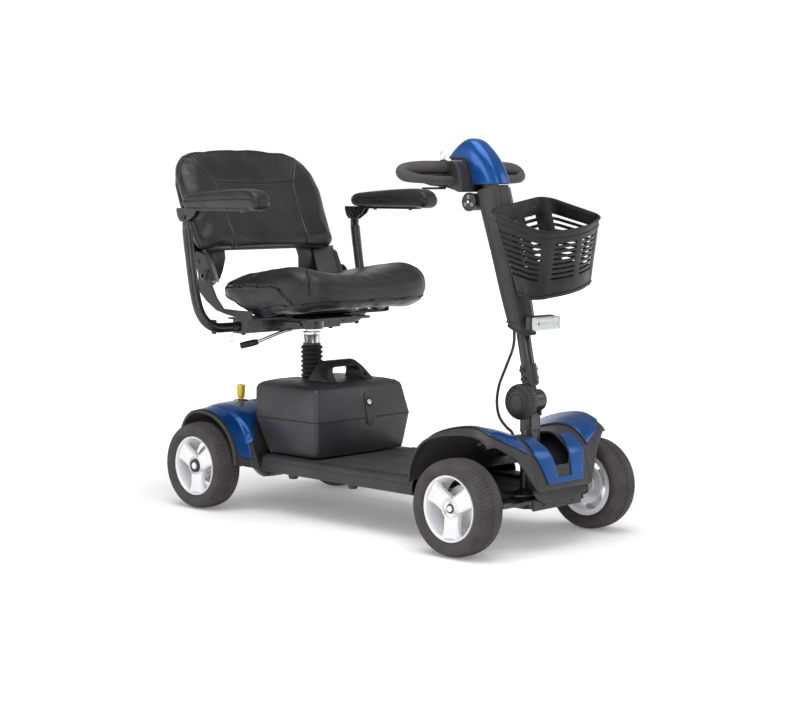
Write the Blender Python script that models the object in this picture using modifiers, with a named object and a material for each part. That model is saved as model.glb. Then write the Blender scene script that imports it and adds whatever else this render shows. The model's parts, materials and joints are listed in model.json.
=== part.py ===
"""Four-wheel travel mobility scooter, modelled as separate sub-parts in metres.

+X points forward, +Y to the rider's left, +Z up.  The layout constants below give x from midway
between the axles; the root empty then moves everything so that the origin is the bounding box's
bottom centre.
"""

import math

import bmesh
import bpy
from mathutils import Euler, Matrix, Vector

# ---------------------------------------------------------------- driving dimensions
CENTRE_SHIFT = 0.01525      # from midway between the axles to the bounding box's centre
GAP = 0.0005                # running gap between neighbouring pieces
WALL = 0.003                # moulded plastic wall

HALF_BASE = 0.4358          # half the wheelbase
TYRE_RADIUS = 0.108
TYRE_WIDTH = 0.078
WHEEL_Y = 0.234             # middle of a wheel
RIM_RADIUS = 0.0745
SPOKES = 3

KINGPIN_Y = 0.162
COLUMN_X = 0.445            # vertical steering axis
ARM_REACH = 0.050           # steering arm and knuckle arm, rearwards
ARM_OFFSET = 0.012          # and outwards
TILT_HINGE = Vector((0.452, 0.0, 0.325))
FORK_RADIUS = 0.025
TUBE_RAKE = math.radians(11.8)

DECK_TOP = 0.144
DECK_BOTTOM = 0.103
DECK_HALF = 0.180
DECK_REAR = -0.2725
DECK_FRONT = 0.246
RAIL_Y = 0.085
RAIL_LOW, RAIL_HIGH, RAIL_WIDTH = 0.106, 0.134, 0.025

POST_X = -0.284             # seat post axis
POST_RADIUS = 0.021
SOCKET_TOP = 0.326
BELLOWS_TOP = 0.405

BACK_PIVOT = Vector((-0.4204, 0.0, 0.5834))
BACK_RAKE = math.radians(22.1)
ARM_PIVOT_X, ARM_PIVOT_Z = -0.424, 0.729
ARM_Y = 0.287
CROSS_TUBE = Vector((-0.374, 0.0, 0.4556))
ARM_TUBE_RADIUS = 0.0125

SIDES = (("left", 1), ("right", -1))


# ---------------------------------------------------------------- scene set-up
def clear_scene():
    for obj in list(bpy.data.objects):
        bpy.data.objects.remove(obj, do_unlink=True)


def make_collection(name, hidden=False):
    collection = bpy.data.collections.new(name)
    bpy.context.scene.collection.children.link(collection)
    collection.hide_render = hidden
    return collection


clear_scene()
PARTS = make_collection("mobility_scooter")
TOOLS = make_collection("cutters", hidden=True)
ROOT = bpy.data.objects.new("scooter_origin", None)
ROOT.location = (CENTRE_SHIFT, 0, 0)
PARTS.objects.link(ROOT)


def material(name, colour, roughness, metallic=0.0):
    made = bpy.data.materials.new(name)
    made.use_nodes = True
    shader = made.node_tree.nodes["Principled BSDF"]
    shader.inputs["Base Color"].default_value = (*colour, 1)
    shader.inputs["Roughness"].default_value = roughness
    shader.inputs["Metallic"].default_value = metallic
    return made


MATERIALS = {
    "grey_plastic": material("grey_plastic", (0.075, 0.075, 0.078), 0.45),
    "black_plastic": material("black_plastic", (0.03, 0.03, 0.032), 0.5),
    "blue_gloss": material("blue_gloss", (0.0, 0.06, 0.36), 0.15, 0.3),
    "black_steel": material("black_steel", (0.02, 0.02, 0.02), 0.35, 0.4),
    "silver_alloy": material("silver_alloy", (0.75, 0.75, 0.75), 0.3, 0.6),
    "chrome": material("chrome", (0.8, 0.8, 0.82), 0.12, 1.0),
    "tyre_rubber": material("tyre_rubber", (0.05, 0.05, 0.052), 0.85),
    "black_rubber": material("black_rubber", (0.02, 0.02, 0.02), 0.7),
    "vinyl": material("vinyl", (0.025, 0.025, 0.028), 0.35),
    "yellow_plastic": material("yellow_plastic", (0.85, 0.6, 0.02), 0.4),
    "clear_lens": material("clear_lens", (0.85, 0.87, 0.88), 0.1),
}


def adopt(obj, tool=False):
    """Links an object, parents it to the root and marks a helper as one."""
    (TOOLS if tool else PARTS).objects.link(obj)
    obj.parent = ROOT
    if tool:
        obj.hide_render = True
        obj.display_type = "WIRE"
    return obj


def object_from(name, bm, tool=False):
    bmesh.ops.remove_doubles(bm, verts=bm.verts, dist=1e-6)
    bmesh.ops.recalc_face_normals(bm, faces=bm.faces)
    mesh = bpy.data.meshes.new(name)
    bm.to_mesh(mesh)
    bm.free()
    return adopt(bpy.data.objects.new(name, mesh), tool)


def finish(obj, paint, pivot=(0, 0, 0), smooth=35):
    """Gives a part its material, its shading, and its origin on its joint's axis."""
    pivot = Vector(pivot)
    obj.data.transform(Matrix.Translation(-pivot))
    obj.location = pivot
    obj.data.materials.append(MATERIALS[paint])
    obj.data.shade_smooth()
    obj.data.set_sharp_from_angle(angle=math.radians(smooth))
    return obj


# ---------------------------------------------------------------- shape helpers
def box(name, low, high, tool=False, bevel=0.0):
    """An axis-aligned block between two corners."""
    low, high = Vector(low), Vector(high)
    bm = bmesh.new()
    bmesh.ops.create_cube(bm, size=1)
    bmesh.ops.scale(bm, verts=bm.verts, vec=high - low)
    bmesh.ops.translate(bm, verts=bm.verts, vec=(low + high) / 2)
    if bevel:
        bmesh.ops.bevel(bm, geom=bm.edges[:], offset=bevel, segments=2, affect="EDGES")
    return object_from(name, bm, tool)


def rod(name, start, end, radius, tool=False, sides=20, end_radius=None):
    """A cylinder or cone between two points."""
    start, end = Vector(start), Vector(end)
    axis = end - start
    bm = bmesh.new()
    bmesh.ops.create_cone(bm, cap_ends=True, segments=sides, radius1=radius,
                          radius2=radius if end_radius is None else end_radius, depth=axis.length)
    turn = axis.to_track_quat("Z", "Y").to_matrix().to_4x4()
    bmesh.ops.transform(bm, matrix=Matrix.Translation((start + end) / 2) @ turn, verts=bm.verts)
    return object_from(name, bm, tool)


def turned(name, profile, centre, axis="Z", sides=32, tool=False):
    """A closed (radius, height) profile turned about an axis through centre."""
    bm = bmesh.new()
    corners = [bm.verts.new((radius, 0, height)) for radius, height in profile]
    edges = [bm.edges.new((a, b)) for a, b in zip(corners, corners[1:] + corners[:1])]
    bmesh.ops.spin(bm, geom=corners + edges, cent=(0, 0, 0), axis=(0, 0, 1), angle=2 * math.pi,
                   steps=sides, use_merge=True)
    turn = {"Z": Matrix.Identity(4), "Y": Matrix.Rotation(-math.pi / 2, 4, "X"),
            "X": Matrix.Rotation(math.pi / 2, 4, "Y")}[axis]
    bmesh.ops.transform(bm, matrix=Matrix.Translation(centre) @ turn, verts=bm.verts)
    return object_from(name, bm, tool)


def pipe(name, points, radius, tool=False, radii=None, smooth=True, facets=2, steps=5):
    """A round bar along a smooth curve through the points."""
    curve = bpy.data.curves.new(name, "CURVE")
    curve.dimensions = "3D"
    curve.bevel_depth = radius
    curve.bevel_resolution = facets
    curve.use_fill_caps = True
    route = catmull([Vector(p) for p in points], steps) if smooth else [Vector(p) for p in points]
    widths = [1.0] * len(route)
    if radii:
        last = len(radii) - 1
        for index in range(len(route)):
            spot = index / (len(route) - 1) * last
            low = min(int(spot), last - 1)
            widths[index] = radii[low] + (radii[low + 1] - radii[low]) * (spot - low)
    spline = curve.splines.new("POLY")
    spline.points.add(len(route) - 1)
    for point, place, width in zip(spline.points, route, widths):
        point.co = (*place, 1)
        point.radius = width
    guide = adopt(bpy.data.objects.new(name + "_guide", curve), tool=True)
    bpy.context.view_layer.update()
    graph = bpy.context.evaluated_depsgraph_get()
    mesh = bpy.data.meshes.new_from_object(guide.evaluated_get(graph))
    bpy.data.objects.remove(guide, do_unlink=True)
    bm = bmesh.new()
    bm.from_mesh(mesh)
    bmesh.ops.remove_doubles(bm, verts=bm.verts, dist=1e-5)
    return object_from(name, bm, tool)


def catmull(points, steps):
    """A smooth curve through points, as a list of points."""
    if len(points) < 3:
        return points
    route = []
    ends = [2 * points[0] - points[1]] + points + [2 * points[-1] - points[-2]]
    for a, b, c, d in zip(ends, ends[1:], ends[2:], ends[3:]):
        for step in range(steps):
            t = step / steps
            route.append(0.5 * ((2 * b) + (c - a) * t + (2 * a - 5 * b + 4 * c - d) * t * t
                                + (3 * b - a - 3 * c + d) * t ** 3))
    return route + [points[-1]]


def slab(name, outline, low, high, plane="XZ", tool=False, bevel=0.0, segments=2):
    """A flat outline extruded between two levels of the axis that its plane leaves out."""
    bm = bmesh.new()
    spots = {"XZ": lambda a, b, level: (a, level, b), "XY": lambda a, b, level: (a, b, level),
             "YZ": lambda a, b, level: (level, a, b)}[plane]
    base = bm.faces.new([bm.verts.new(spots(a, b, low)) for a, b in outline])
    grown = bmesh.ops.extrude_face_region(bm, geom=[base])
    shift = Vector(spots(0, 0, high)) - Vector(spots(0, 0, low))
    moved = [item for item in grown["geom"] if isinstance(item, bmesh.types.BMVert)]
    bmesh.ops.translate(bm, verts=moved, vec=shift)
    bmesh.ops.recalc_face_normals(bm, faces=bm.faces)
    if bevel:
        bmesh.ops.bevel(bm, geom=bm.edges[:], offset=bevel, segments=segments, affect="EDGES")
    return object_from(name, bm, tool)


def skin(name, rows, cap=True, closed=True, tool=False):
    """A loft through rows of points; closed rows make a tube, whose ends can be capped."""
    bm = bmesh.new()
    grid = [[bm.verts.new(point) for point in row] for row in rows]
    count = len(rows[0])
    span = count if closed else count - 1
    for first, second in zip(grid, grid[1:]):
        for index in range(span):
            after = (index + 1) % count
            bm.faces.new((first[index], first[after], second[after], second[index]))
    if cap:
        bm.faces.new(grid[0])
        bm.faces.new(grid[-1])
    return object_from(name, bm, tool)


def thicken(obj, thickness, offset=-1.0):
    modifier = obj.modifiers.new("wall", "SOLIDIFY")
    modifier.thickness = thickness
    modifier.offset = offset
    modifier.use_even_offset = True
    return obj


def mirror_y(obj):
    modifier = obj.modifiers.new("other_half", "MIRROR")
    modifier.use_axis = (False, True, False)
    modifier.merge_threshold = 0.0001
    modifier.use_clip = True
    return obj


def combine(obj, other, operation):
    modifier = obj.modifiers.new(operation.lower(), "BOOLEAN")
    modifier.operation = operation
    modifier.object = other
    modifier.solver = "EXACT"


def cut(obj, *others):
    for other in others:
        combine(obj, other, "DIFFERENCE")
    return obj


def join(obj, *others):
    for other in others:
        combine(obj, other, "UNION")
    return obj


def rounded_rectangle(half_a, half_b, radius, steps=3):
    """Outline points of a rectangle with round corners, centred on the origin."""
    points = []
    for corner, (sign_a, sign_b) in enumerate(((1, 1), (-1, 1), (-1, -1), (1, -1))):
        for step in range(steps + 1):
            angle = math.pi / 2 * (corner + step / steps)
            points.append((sign_a * (half_a - radius) + radius * math.cos(angle),
                           sign_b * (half_b - radius) + radius * math.sin(angle)))
    return points


def spline_row(values, spot):
    """Catmull-Rom value at a fractional place in a list of vectors."""
    last = len(values) - 1
    low = min(max(int(spot), 0), last - 1)
    t = spot - low
    b, c = values[low], values[low + 1]
    a = values[low - 1] if low > 0 else 2 * b - c
    d = values[low + 2] if low + 2 <= last else 2 * c - b
    return 0.5 * ((2 * b) + (c - a) * t + (2 * a - 5 * b + 4 * c - d) * t * t
                  + (3 * b - a - 3 * c + d) * t ** 3)


class Body:
    """A smooth surface through side profiles at stations across the scooter.

    Each station is (y, [(x, z), ...]), and every profile runs from front to back, or back to
    front, with the same number of points."""

    def __init__(self, stations, core):
        self.core = Vector(core)
        self.levels = [y for y, _ in stations]
        self.rows = [[Vector((x, y, z)) for x, z in profile] for y, profile in stations]

    def point(self, along, y):
        """The surface point at a place along the profile and a distance from the middle."""
        spots = [spline_row(row, along) for row in self.rows]
        index = max(i for i, level in enumerate(self.levels[:-1]) if y >= level - 1e-9)
        low, high = self.levels[index], self.levels[index + 1]
        return spots[index].lerp(spots[index + 1], (y - low) / (high - low))

    def normal(self, along, y):
        step = 0.02
        reach = min(max(y, 0.004), self.levels[-1] - 0.004)
        a = self.point(along + step, reach) - self.point(along - step, reach)
        b = self.point(along, reach + 0.003) - self.point(along, reach - 0.003)
        normal = a.cross(b).normalized()
        return normal if normal.dot(self.point(along, y) - self.core) > 0 else -normal

    def patch(self, name, alongs, levels, edges, lift, thickness, side):
        """A panel that lies on the surface: edges(along) gives its inner and outer y."""
        rows = []
        for along in alongs:
            inner, outer = edges(along)
            row = []
            for level in levels:
                y = min(max(level, inner), outer)
                spot = self.point(along, y) + self.normal(along, y) * lift
                row.append((spot.x, side * spot.y, spot.z))
            rows.append(row)
        panel = skin(name, rows, cap=False, closed=False)
        return thicken_outward(panel, thickness)


def thicken_outward(obj, thickness):
    """Thickens an open panel upwards, away from the body, whichever way its faces turn."""
    up = sum((face.normal.z * face.area for face in obj.data.polygons), 0.0)
    return thicken(obj, thickness, 1.0 if up > 0 else -1.0)


# ---------------------------------------------------------------- chassis
def build_main_frame():
    """Two rails, cross plates, head tube, seat-post socket and the front axle beam, as one weldment."""
    half = RAIL_WIDTH / 2
    frame = box("main_frame", (-0.400, RAIL_Y - half, RAIL_LOW), (0.478, RAIL_Y + half, RAIL_HIGH))
    shapes = [box("rail", (-0.400, -RAIL_Y - half, RAIL_LOW), (0.478, -RAIL_Y + half, RAIL_HIGH), True)]
    for x in (POST_X, -0.02, COLUMN_X):
        shapes.append(box("cross_plate", (x - 0.036, -RAIL_Y, 0.109), (x + 0.036, RAIL_Y, 0.119), True))
    shapes.append(rod("head_tube", (COLUMN_X, 0, 0.098), (COLUMN_X, 0, 0.200), 0.024, True, 16))
    shapes.append(rod("socket", (POST_X, 0, 0.106), (POST_X, 0, SOCKET_TOP), 0.0245, True, 16))
    shapes.append(rod("axle_beam", (0.482, -0.150, 0.108), (0.482, 0.150, 0.108), 0.011, True, 12))
    for _, side in SIDES:
        inner, outer = sorted((side * 0.136, side * (KINGPIN_Y - 0.004)))
        shapes.append(box("yoke", (HALF_BASE - 0.004, inner, 0.0985), (0.486, outer, 0.1175), True))
        shapes.append(rod("kingpin_sleeve", (HALF_BASE, side * KINGPIN_Y, 0.086),
                          (HALF_BASE, side * KINGPIN_Y, 0.140), 0.0125, True, 12))
    join(frame, *shapes)
    bores = [rod("head_bore", (COLUMN_X, 0, 0.09), (COLUMN_X, 0, 0.21), 0.0174, True, 16),
             rod("socket_bore", (POST_X, 0, 0.09), (POST_X, 0, 0.35), POST_RADIUS + 0.0008, True, 16)]
    for _, side in SIDES:
        bores.append(rod("kingpin_bore", (HALF_BASE, side * KINGPIN_Y, 0.08),
                         (HALF_BASE, side * KINGPIN_Y, 0.15), 0.0080, True, 12))
    cut(frame, *bores)
    return finish(frame, "black_steel")


def build_deck():
    """A long tray, open at both ends, whose skirts hide the rails."""
    edge = 0.012
    half = [(0, DECK_TOP), (DECK_HALF - edge, DECK_TOP), (DECK_HALF - 0.3 * edge, DECK_TOP - 0.3 * edge),
            (DECK_HALF, DECK_TOP - edge), (DECK_HALF + 0.002, DECK_BOTTOM + 0.008),
            (DECK_HALF - 0.004, DECK_BOTTOM)]
    outline = [(-y, z) for y, z in reversed(half[1:])] + half
    rows = [[(x, y, z) for y, z in outline] for x in (DECK_REAR, DECK_FRONT)]
    deck = thicken(skin("deck_cover", rows, cap=False, closed=False), 0.004, -1)
    hole = rod("post_hole", (POST_X, 0, 0.1), (POST_X, 0, 0.2), 0.027, True, 24)
    cut(deck, hole)
    finish(deck, "grey_plastic")
    mat = box("deck_mat", (-0.080, -0.164, DECK_TOP + GAP), (DECK_FRONT - 0.003, 0.164, DECK_TOP + 0.003))
    finish(mat, "black_rubber")


FRONT = Body([
    (0.000, [(0.2465, 0.1450), (0.300, 0.183), (0.350, 0.213), (0.400, 0.237), (0.445, 0.250),
             (0.482, 0.247), (0.526, 0.215), (0.546, 0.152), (0.548, 0.136)]),
    (0.060, [(0.2465, 0.1450), (0.300, 0.184), (0.350, 0.214), (0.400, 0.238), (0.445, 0.251),
             (0.482, 0.248), (0.526, 0.216), (0.546, 0.152), (0.548, 0.136)]),
    (0.0925, [(0.2465, 0.1450), (0.295, 0.189), (0.340, 0.222), (0.392, 0.246), (0.442, 0.257),
              (0.485, 0.250), (0.524, 0.216), (0.545, 0.152), (0.548, 0.136)]),
    (0.140, [(0.2465, 0.1450), (0.280, 0.198), (0.325, 0.236), (0.382, 0.260), (0.440, 0.271),
             (0.488, 0.262), (0.513, 0.240), (0.524, 0.222), (0.527, 0.212)]),
    (0.187, [(0.2480, 0.1420), (0.270, 0.202), (0.308, 0.246), (0.370, 0.271), (0.439, 0.281),
             (0.478, 0.270), (0.4965, 0.256), (0.5030, 0.248), (0.5050, 0.243)]),
    (0.203, [(0.2540, 0.1400), (0.2650, 0.188), (0.296, 0.233), (0.350, 0.256), (0.430, 0.265),
             (0.472, 0.260), (0.4900, 0.250), (0.4960, 0.244), (0.4980, 0.240)]),
], core=(0.40, 0.08, 0.10))
FRONT_ALONGS = [0, 1, 1.5, 2, 3, 4, 4.5, 5, 5.5, 6, 6.5, 7, 8]
FRONT_LEVELS = [0, 0.060, 0.0925, 0.116, 0.140, 0.187, 0.203]


def build_front():
    """The front shroud with both fenders, its U insert and the two fender panels."""
    rows = [[FRONT.point(along, y) for y in FRONT_LEVELS] for along in FRONT_ALONGS]
    shroud = mirror_y(skin("front_shroud", rows, cap=False, closed=False))
    thicken(shroud, 0.004, -1)
    keyhole = slab("keyhole", [(0.398, -0.038), (0.470, -0.042), (0.528, -0.034), (0.537, -0.0215),
                               (0.537, 0.0215), (0.528, 0.034), (0.470, 0.042), (0.398, 0.038)],
                   0.180, 0.30, "XY", True)
    cut(shroud, keyhole)
    finish(shroud, "grey_plastic")

    marks = [5.15, 5.4, 5.7, 6.0, 6.3, 6.6, 6.8]

    def half_insert(side):
        rows = []
        for along in marks:
            x = FRONT.point(along, 0.05).x
            inner = 0.044 if x < 0.500 else 0.044 - 0.019 * (x - 0.500) / 0.041
            outer = 0.083 if x < 0.5259 else 0.0875 - 0.0285 * (x - 0.5259) / 0.021
            row = []
            for step in range(4):
                y = inner + (outer - inner) * step / 3
                spot = FRONT.point(along, y) + FRONT.normal(along, y) * 0.0009
                row.append((spot.x, side * y, spot.z))
            rows.append(row)
        return rows

    left, right = half_insert(1), half_insert(-1)
    insert = u_insert("front_u_insert", left, right)
    finish(insert, "blue_gloss")

    for label, side in SIDES:
        panel = FRONT.patch(f"front_fender_panel_{label}", [1, 1.5, 2, 3, 4, 4.5, 5, 5.5, 6],
                            FRONT_LEVELS[2:],
                            lambda along: (0.104 + 0.030 * max(0.0, (3.2 - along) / 2),
                                           0.186 - 0.05 * max(0.0, (along - 5.3))),
                            0.0012, 0.002, side)
        finish(panel, "blue_gloss")


def u_insert(name, left, right):
    """The U-shaped insert: two legs and the web that joins them across the bottom."""
    bm = bmesh.new()
    last = len(left) - 1
    legs = []
    for rows in (left, right):
        legs.append([[bm.verts.new(point) for point in row] for row in rows])
    for grid in legs:
        for first, second in zip(grid, grid[1:]):
            for index in range(len(first) - 1):
                bm.faces.new((first[index], first[index + 1], second[index + 1], second[index]))
    web_low = []
    for verts in ([legs[0][last][i] for i in (3, 2, 1, 0)] + [legs[1][last][i] for i in (0, 1, 2, 3)],):
        for vert in verts:
            y = max(-0.0585, min(0.0585, vert.co.y))
            spot = FRONT.point(7.05, abs(y)) + FRONT.normal(7.05, abs(y)) * 0.0009
            web_low.append(bm.verts.new((spot.x, y, spot.z)))
        for index in range(len(verts) - 1):
            bm.faces.new((verts[index], verts[index + 1], web_low[index + 1], web_low[index]))
    bmesh.ops.recalc_face_normals(bm, faces=bm.faces)
    mesh = bpy.data.meshes.new(name)
    bm.to_mesh(mesh)
    bm.free()
    return thicken_outward(adopt(bpy.data.objects.new(name, mesh)), 0.002)


def build_bumper():
    bar = box("bumper_bar", (0.5185, -0.084, 0.090), (0.5265, 0.084, 0.117), bevel=0.002)
    strut = box("bumper_strut", (0.4945, -0.012, 0.098), (0.519, 0.012, 0.110), True)
    join(bar, strut)
    cut(bar, *[rod("bolt_hole", (0.51, y, 0.1035), (0.54, y, 0.1035), 0.005, True, 12)
               for y in (-0.05, 0.05)])
    finish(bar, "grey_plastic")


REAR = Body([
    (0.000, [(-0.3275, 0.1450), (-0.333, 0.190), (-0.342, 0.226), (-0.366, 0.246), (-0.410, 0.257),
             (-0.455, 0.258), (-0.494, 0.243), (-0.512, 0.205), (-0.516, 0.150)]),
    (0.100, [(-0.3275, 0.1450), (-0.333, 0.190), (-0.342, 0.225), (-0.366, 0.244), (-0.410, 0.255),
             (-0.455, 0.256), (-0.493, 0.242), (-0.511, 0.205), (-0.515, 0.150)]),
    (0.165, [(-0.3000, 0.1450), (-0.316, 0.190), (-0.333, 0.222), (-0.362, 0.241), (-0.406, 0.252),
             (-0.453, 0.253), (-0.490, 0.240), (-0.508, 0.205), (-0.512, 0.150)]),
    (0.1835, [(-0.2760, 0.1050), (-0.296, 0.150), (-0.319, 0.196), (-0.354, 0.230), (-0.402, 0.248),
              (-0.450, 0.250), (-0.486, 0.238), (-0.505, 0.205), (-0.509, 0.150)]),
    (0.1900, [(-0.2960, 0.1100), (-0.307, 0.152), (-0.326, 0.192), (-0.358, 0.224), (-0.400, 0.243),
              (-0.445, 0.248), (-0.482, 0.2395), (-0.505, 0.222), (-0.519, 0.200)]),
    (0.2300, [(-0.3140, 0.1200), (-0.324, 0.163), (-0.344, 0.195), (-0.372, 0.219), (-0.405, 0.235),
              (-0.445, 0.2415), (-0.482, 0.236), (-0.506, 0.217), (-0.520, 0.194)]),
], core=(-0.42, 0.12, 0.10))
REAR_ALONGS = [0, 0.5, 1, 2, 2.5, 3, 4, 5, 5.5, 6, 7, 8]
REAR_LEVELS = [0, 0.100, 0.165, 0.1835, 0.190, 0.210, 0.230]
LEVER_X, LEVER_Y = -0.444, -0.100


def build_rear():
    """The rear cover over the transaxle, its two blue panels and the freewheel lever in its slot."""
    rows = [[REAR.point(along, y) for y in REAR_LEVELS] for along in REAR_ALONGS]
    cover = mirror_y(skin("rear_cover", rows, cap=False, closed=False))
    thicken(cover, 0.0035, -1)
    slot = box("lever_slot", (LEVER_X - 0.020, LEVER_Y - 0.0045, 0.19),
               (LEVER_X + 0.020, LEVER_Y + 0.0045, 0.31), True)
    cut(cover, slot)
    finish(cover, "grey_plastic")
    for label, side in SIDES:
        panel = REAR.patch(f"rear_panel_{label}", [0.5, 1, 2, 2.5, 3, 4, 5, 5.5, 6], REAR_LEVELS,
                           lambda along: (0.088 + 0.075 * max(0.0, (2.6 - along) / 2.1), 0.222),
                           0.0016, 0.002, side)
        if side < 0:
            cut(panel, slot)
        finish(panel, "blue_gloss")
    lever = box("freewheel_lever", (LEVER_X - 0.008, LEVER_Y - 0.003, 0.176),
                (LEVER_X + 0.008, LEVER_Y + 0.003, 0.303),
                bevel=0.0015)
    finish(lever, "yellow_plastic", (LEVER_X, LEVER_Y, 0.182))


def build_transaxle():
    """Differential, axle tube and stub axles across the scooter, with the drive motor forwards."""
    profile = [(0, 0.2030), (0.0075, 0.2030), (0.0075, 0.1900), (0.019, 0.1895), (0.019, 0.070),
               (0.036, 0.055),
               (0.054, 0.034), (0.056, 0.010), (0.056, -0.010), (0.054, -0.034), (0.036, -0.055),
               (0.019, -0.070), (0.019, -0.1895), (0.0075, -0.1900), (0.0075, -0.2030), (0, -0.2030)]
    case = turned("transaxle", profile, (-HALF_BASE, 0, TYRE_RADIUS), "Y", 16)
    motor = rod("motor", (-0.402, 0, 0.101), (-0.337, 0, 0.101), 0.036, True, 16)
    join(case, motor)
    finish(case, "black_steel")


def build_bellows():
    """A ribbed rubber sleeve round the seat post, above its socket."""
    low, high, folds = SOCKET_TOP + 0.004, BELLOWS_TOP, 6
    outer = []
    for step in range(2 * folds + 1):
        radius = 0.0275 if step % 2 else 0.0235
        outer.append((radius, high - (high - low) * step / (2 * folds)))
    inner = [(0.0222, low), (0.0222, high)]
    finish(turned("bellows", outer + inner, (POST_X, 0, 0), "Z", 16), "black_rubber")


# ---------------------------------------------------------------- battery box
def box_ring(rear, front, half_width, height, corner=0.012):
    """A horizontal ring of the battery box: round corners, and a notch at the back for the post."""
    depth = (front - rear) / 2
    middle = (front + rear) / 2
    ring = [(middle + x, y, height) for x, y in rounded_rectangle(depth, half_width, corner, 2)]
    notch = max(POST_X + 0.036, rear + 0.003)
    hollow = [(rear, 0.033), (notch - 0.010, 0.033), (notch, 0.020), (notch, -0.020), (notch - 0.010, -0.033),
              (rear, -0.033)]
    if notch - 0.010 < rear:
        hollow = [(rear, 0.033), (rear + 0.001, 0.033), (notch, 0.020), (notch, -0.020),
                  (rear + 0.001, -0.033),
                  (rear, -0.033)]
    return ring[:6] + [(x, y, height) for x, y in hollow] + ring[6:]


def build_battery():
    """The lift-off battery box: tray, cover, carry handle, charging socket and the pack inside."""
    base = DECK_TOP + 0.004
    tray = skin("battery_tray", [box_ring(-0.252, -0.1035, 0.150, base),
                                 box_ring(-0.262, -0.1010, 0.1535, base + 0.012),
                                 box_ring(-0.312, -0.0903, 0.1648, 0.2348)], cap=False)
    close_end(tray, low=True)
    thicken(tray, WALL, -1)
    finish(tray, "grey_plastic")
    cover = skin("battery_cover", [box_ring(-0.312, -0.0905, 0.1646, 0.2385),
                                   box_ring(-0.322, -0.1050, 0.1510, 0.3050),
                                   box_ring(-0.320, -0.1100, 0.1450, 0.3150),
                                   box_ring(-0.312, -0.1230, 0.1310, 0.3215),
                                   box_ring(-0.300, -0.1400, 0.1080, 0.3255)], cap=False)
    close_end(cover, low=False)
    thicken(cover, WALL, -1)
    finish(cover, "grey_plastic")
    pack = box("battery_pack", (-0.236, -0.120, base + 0.004), (-0.112, 0.120, 0.300), bevel=0.004)
    finish(pack, "black_plastic")

    side_view = [(-0.212, 0.3260), (-0.1425, 0.3260), (-0.150, 0.336), (-0.1745, 0.3715), (-0.196, 0.3735),
                 (-0.204, 0.368)]
    handle = slab("battery_handle", side_view, -0.080, 0.080, "XZ", bevel=0.0025)
    grip_hole = slab("grip_hole", [(-0.046, 0.3200), (0.046, 0.3200), (0.046, 0.349), (0.038, 0.358),
                                   (-0.038, 0.358),
                                   (-0.046, 0.349)], -0.30, -0.10, "YZ", True)
    slopes = [slab("slope", [(side * 0.0795, 0.320), (side * 0.060, 0.380), (side * 0.12, 0.380),
                             (side * 0.12, 0.320)],
                   -0.30, -0.10, "YZ", True) for _, side in SIDES]
    cut(handle, grip_hole, *slopes)
    finish(handle, "black_plastic")

    lean = math.radians(12.6)
    out = Vector((math.cos(lean), 0, math.sin(lean)))
    seat = Vector((-0.0981, 0.020, 0.2735))
    socket = rod("charge_port", seat + out * 0.0006, seat + out * 0.0046, 0.011, sides=20)
    cut(socket, rod("port_hole", seat + out * 0.0022, seat + out * 0.010, 0.0075, True, 16))
    finish(socket, "chrome")


def close_end(obj, low):
    """Fills the lowest or the highest ring of an open loft."""
    bm = bmesh.new()
    bm.from_mesh(obj.data)
    level = (min if low else max)(vert.co.z for vert in bm.verts)
    ring = [edge for edge in bm.edges
            if edge.is_boundary and all(abs(vert.co.z - level) < 1e-6 for vert in edge.verts)]
    bmesh.ops.contextual_create(bm, geom=ring)
    bmesh.ops.recalc_face_normals(bm, faces=bm.faces)
    bm.to_mesh(obj.data)
    bm.free()
    faces = obj.data.polygons
    outward = sum((face.normal.z * face.area * (-1 if low else 1) for face in faces
                   if abs(face.center.z - level) < 1e-5), 0.0)
    if outward < 0:
        obj.data.flip_normals()


# ---------------------------------------------------------------- wheels and steering
def build_wheels():
    """Each wheel is a solid tyre and a three-spoke rim with its hub."""
    half = TYRE_WIDTH / 2
    tread = [(TYRE_RADIUS, 0.018), (TYRE_RADIUS - 0.0055, 0.031), (TYRE_RADIUS - 0.020, half),
             (RIM_RADIUS + GAP, 0.0290)]
    tyre_profile = list(reversed(tread)) + [(radius, -height) for radius, height in tread]
    lip = RIM_RADIUS
    barrel = [(lip, 0.0285), (lip - 0.006, 0.0285), (lip - 0.010, 0.018), (lip - 0.010, -0.0285),
              (lip, -0.0285)]
    for end, x in (("front", HALF_BASE), ("rear", -HALF_BASE)):
        for label, side in SIDES:
            middle = Vector((x, side * WHEEL_Y, TYRE_RADIUS))
            tyre = turned(f"{end}_tyre_{label}", tyre_profile, middle, "Y", 28)
            finish(tyre, "tyre_rubber", middle)
            rim = turned(f"{end}_rim_{label}", barrel, middle, "Y", 28)
            hub_in, hub_out = middle.y - side * 0.028, middle.y + side * 0.028
            shapes = [rod("hub", (x, hub_in, TYRE_RADIUS), (x, hub_out, TYRE_RADIUS), 0.023, True, 16)]
            for spoke in range(SPOKES):
                angle = math.pi + 2 * math.pi * spoke / SPOKES
                bar = box("spoke", (-0.0135, side * 0.008 - 0.006, 0.010),
                          (0.0135, side * 0.008 + 0.006, 0.0665), True)
                bar.data.transform(Matrix.Translation(middle) @ Matrix.Rotation(angle, 4, "Y"))
                shapes.append(bar)
            join(rim, *shapes)
            finish(rim, "silver_alloy", middle)


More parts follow.
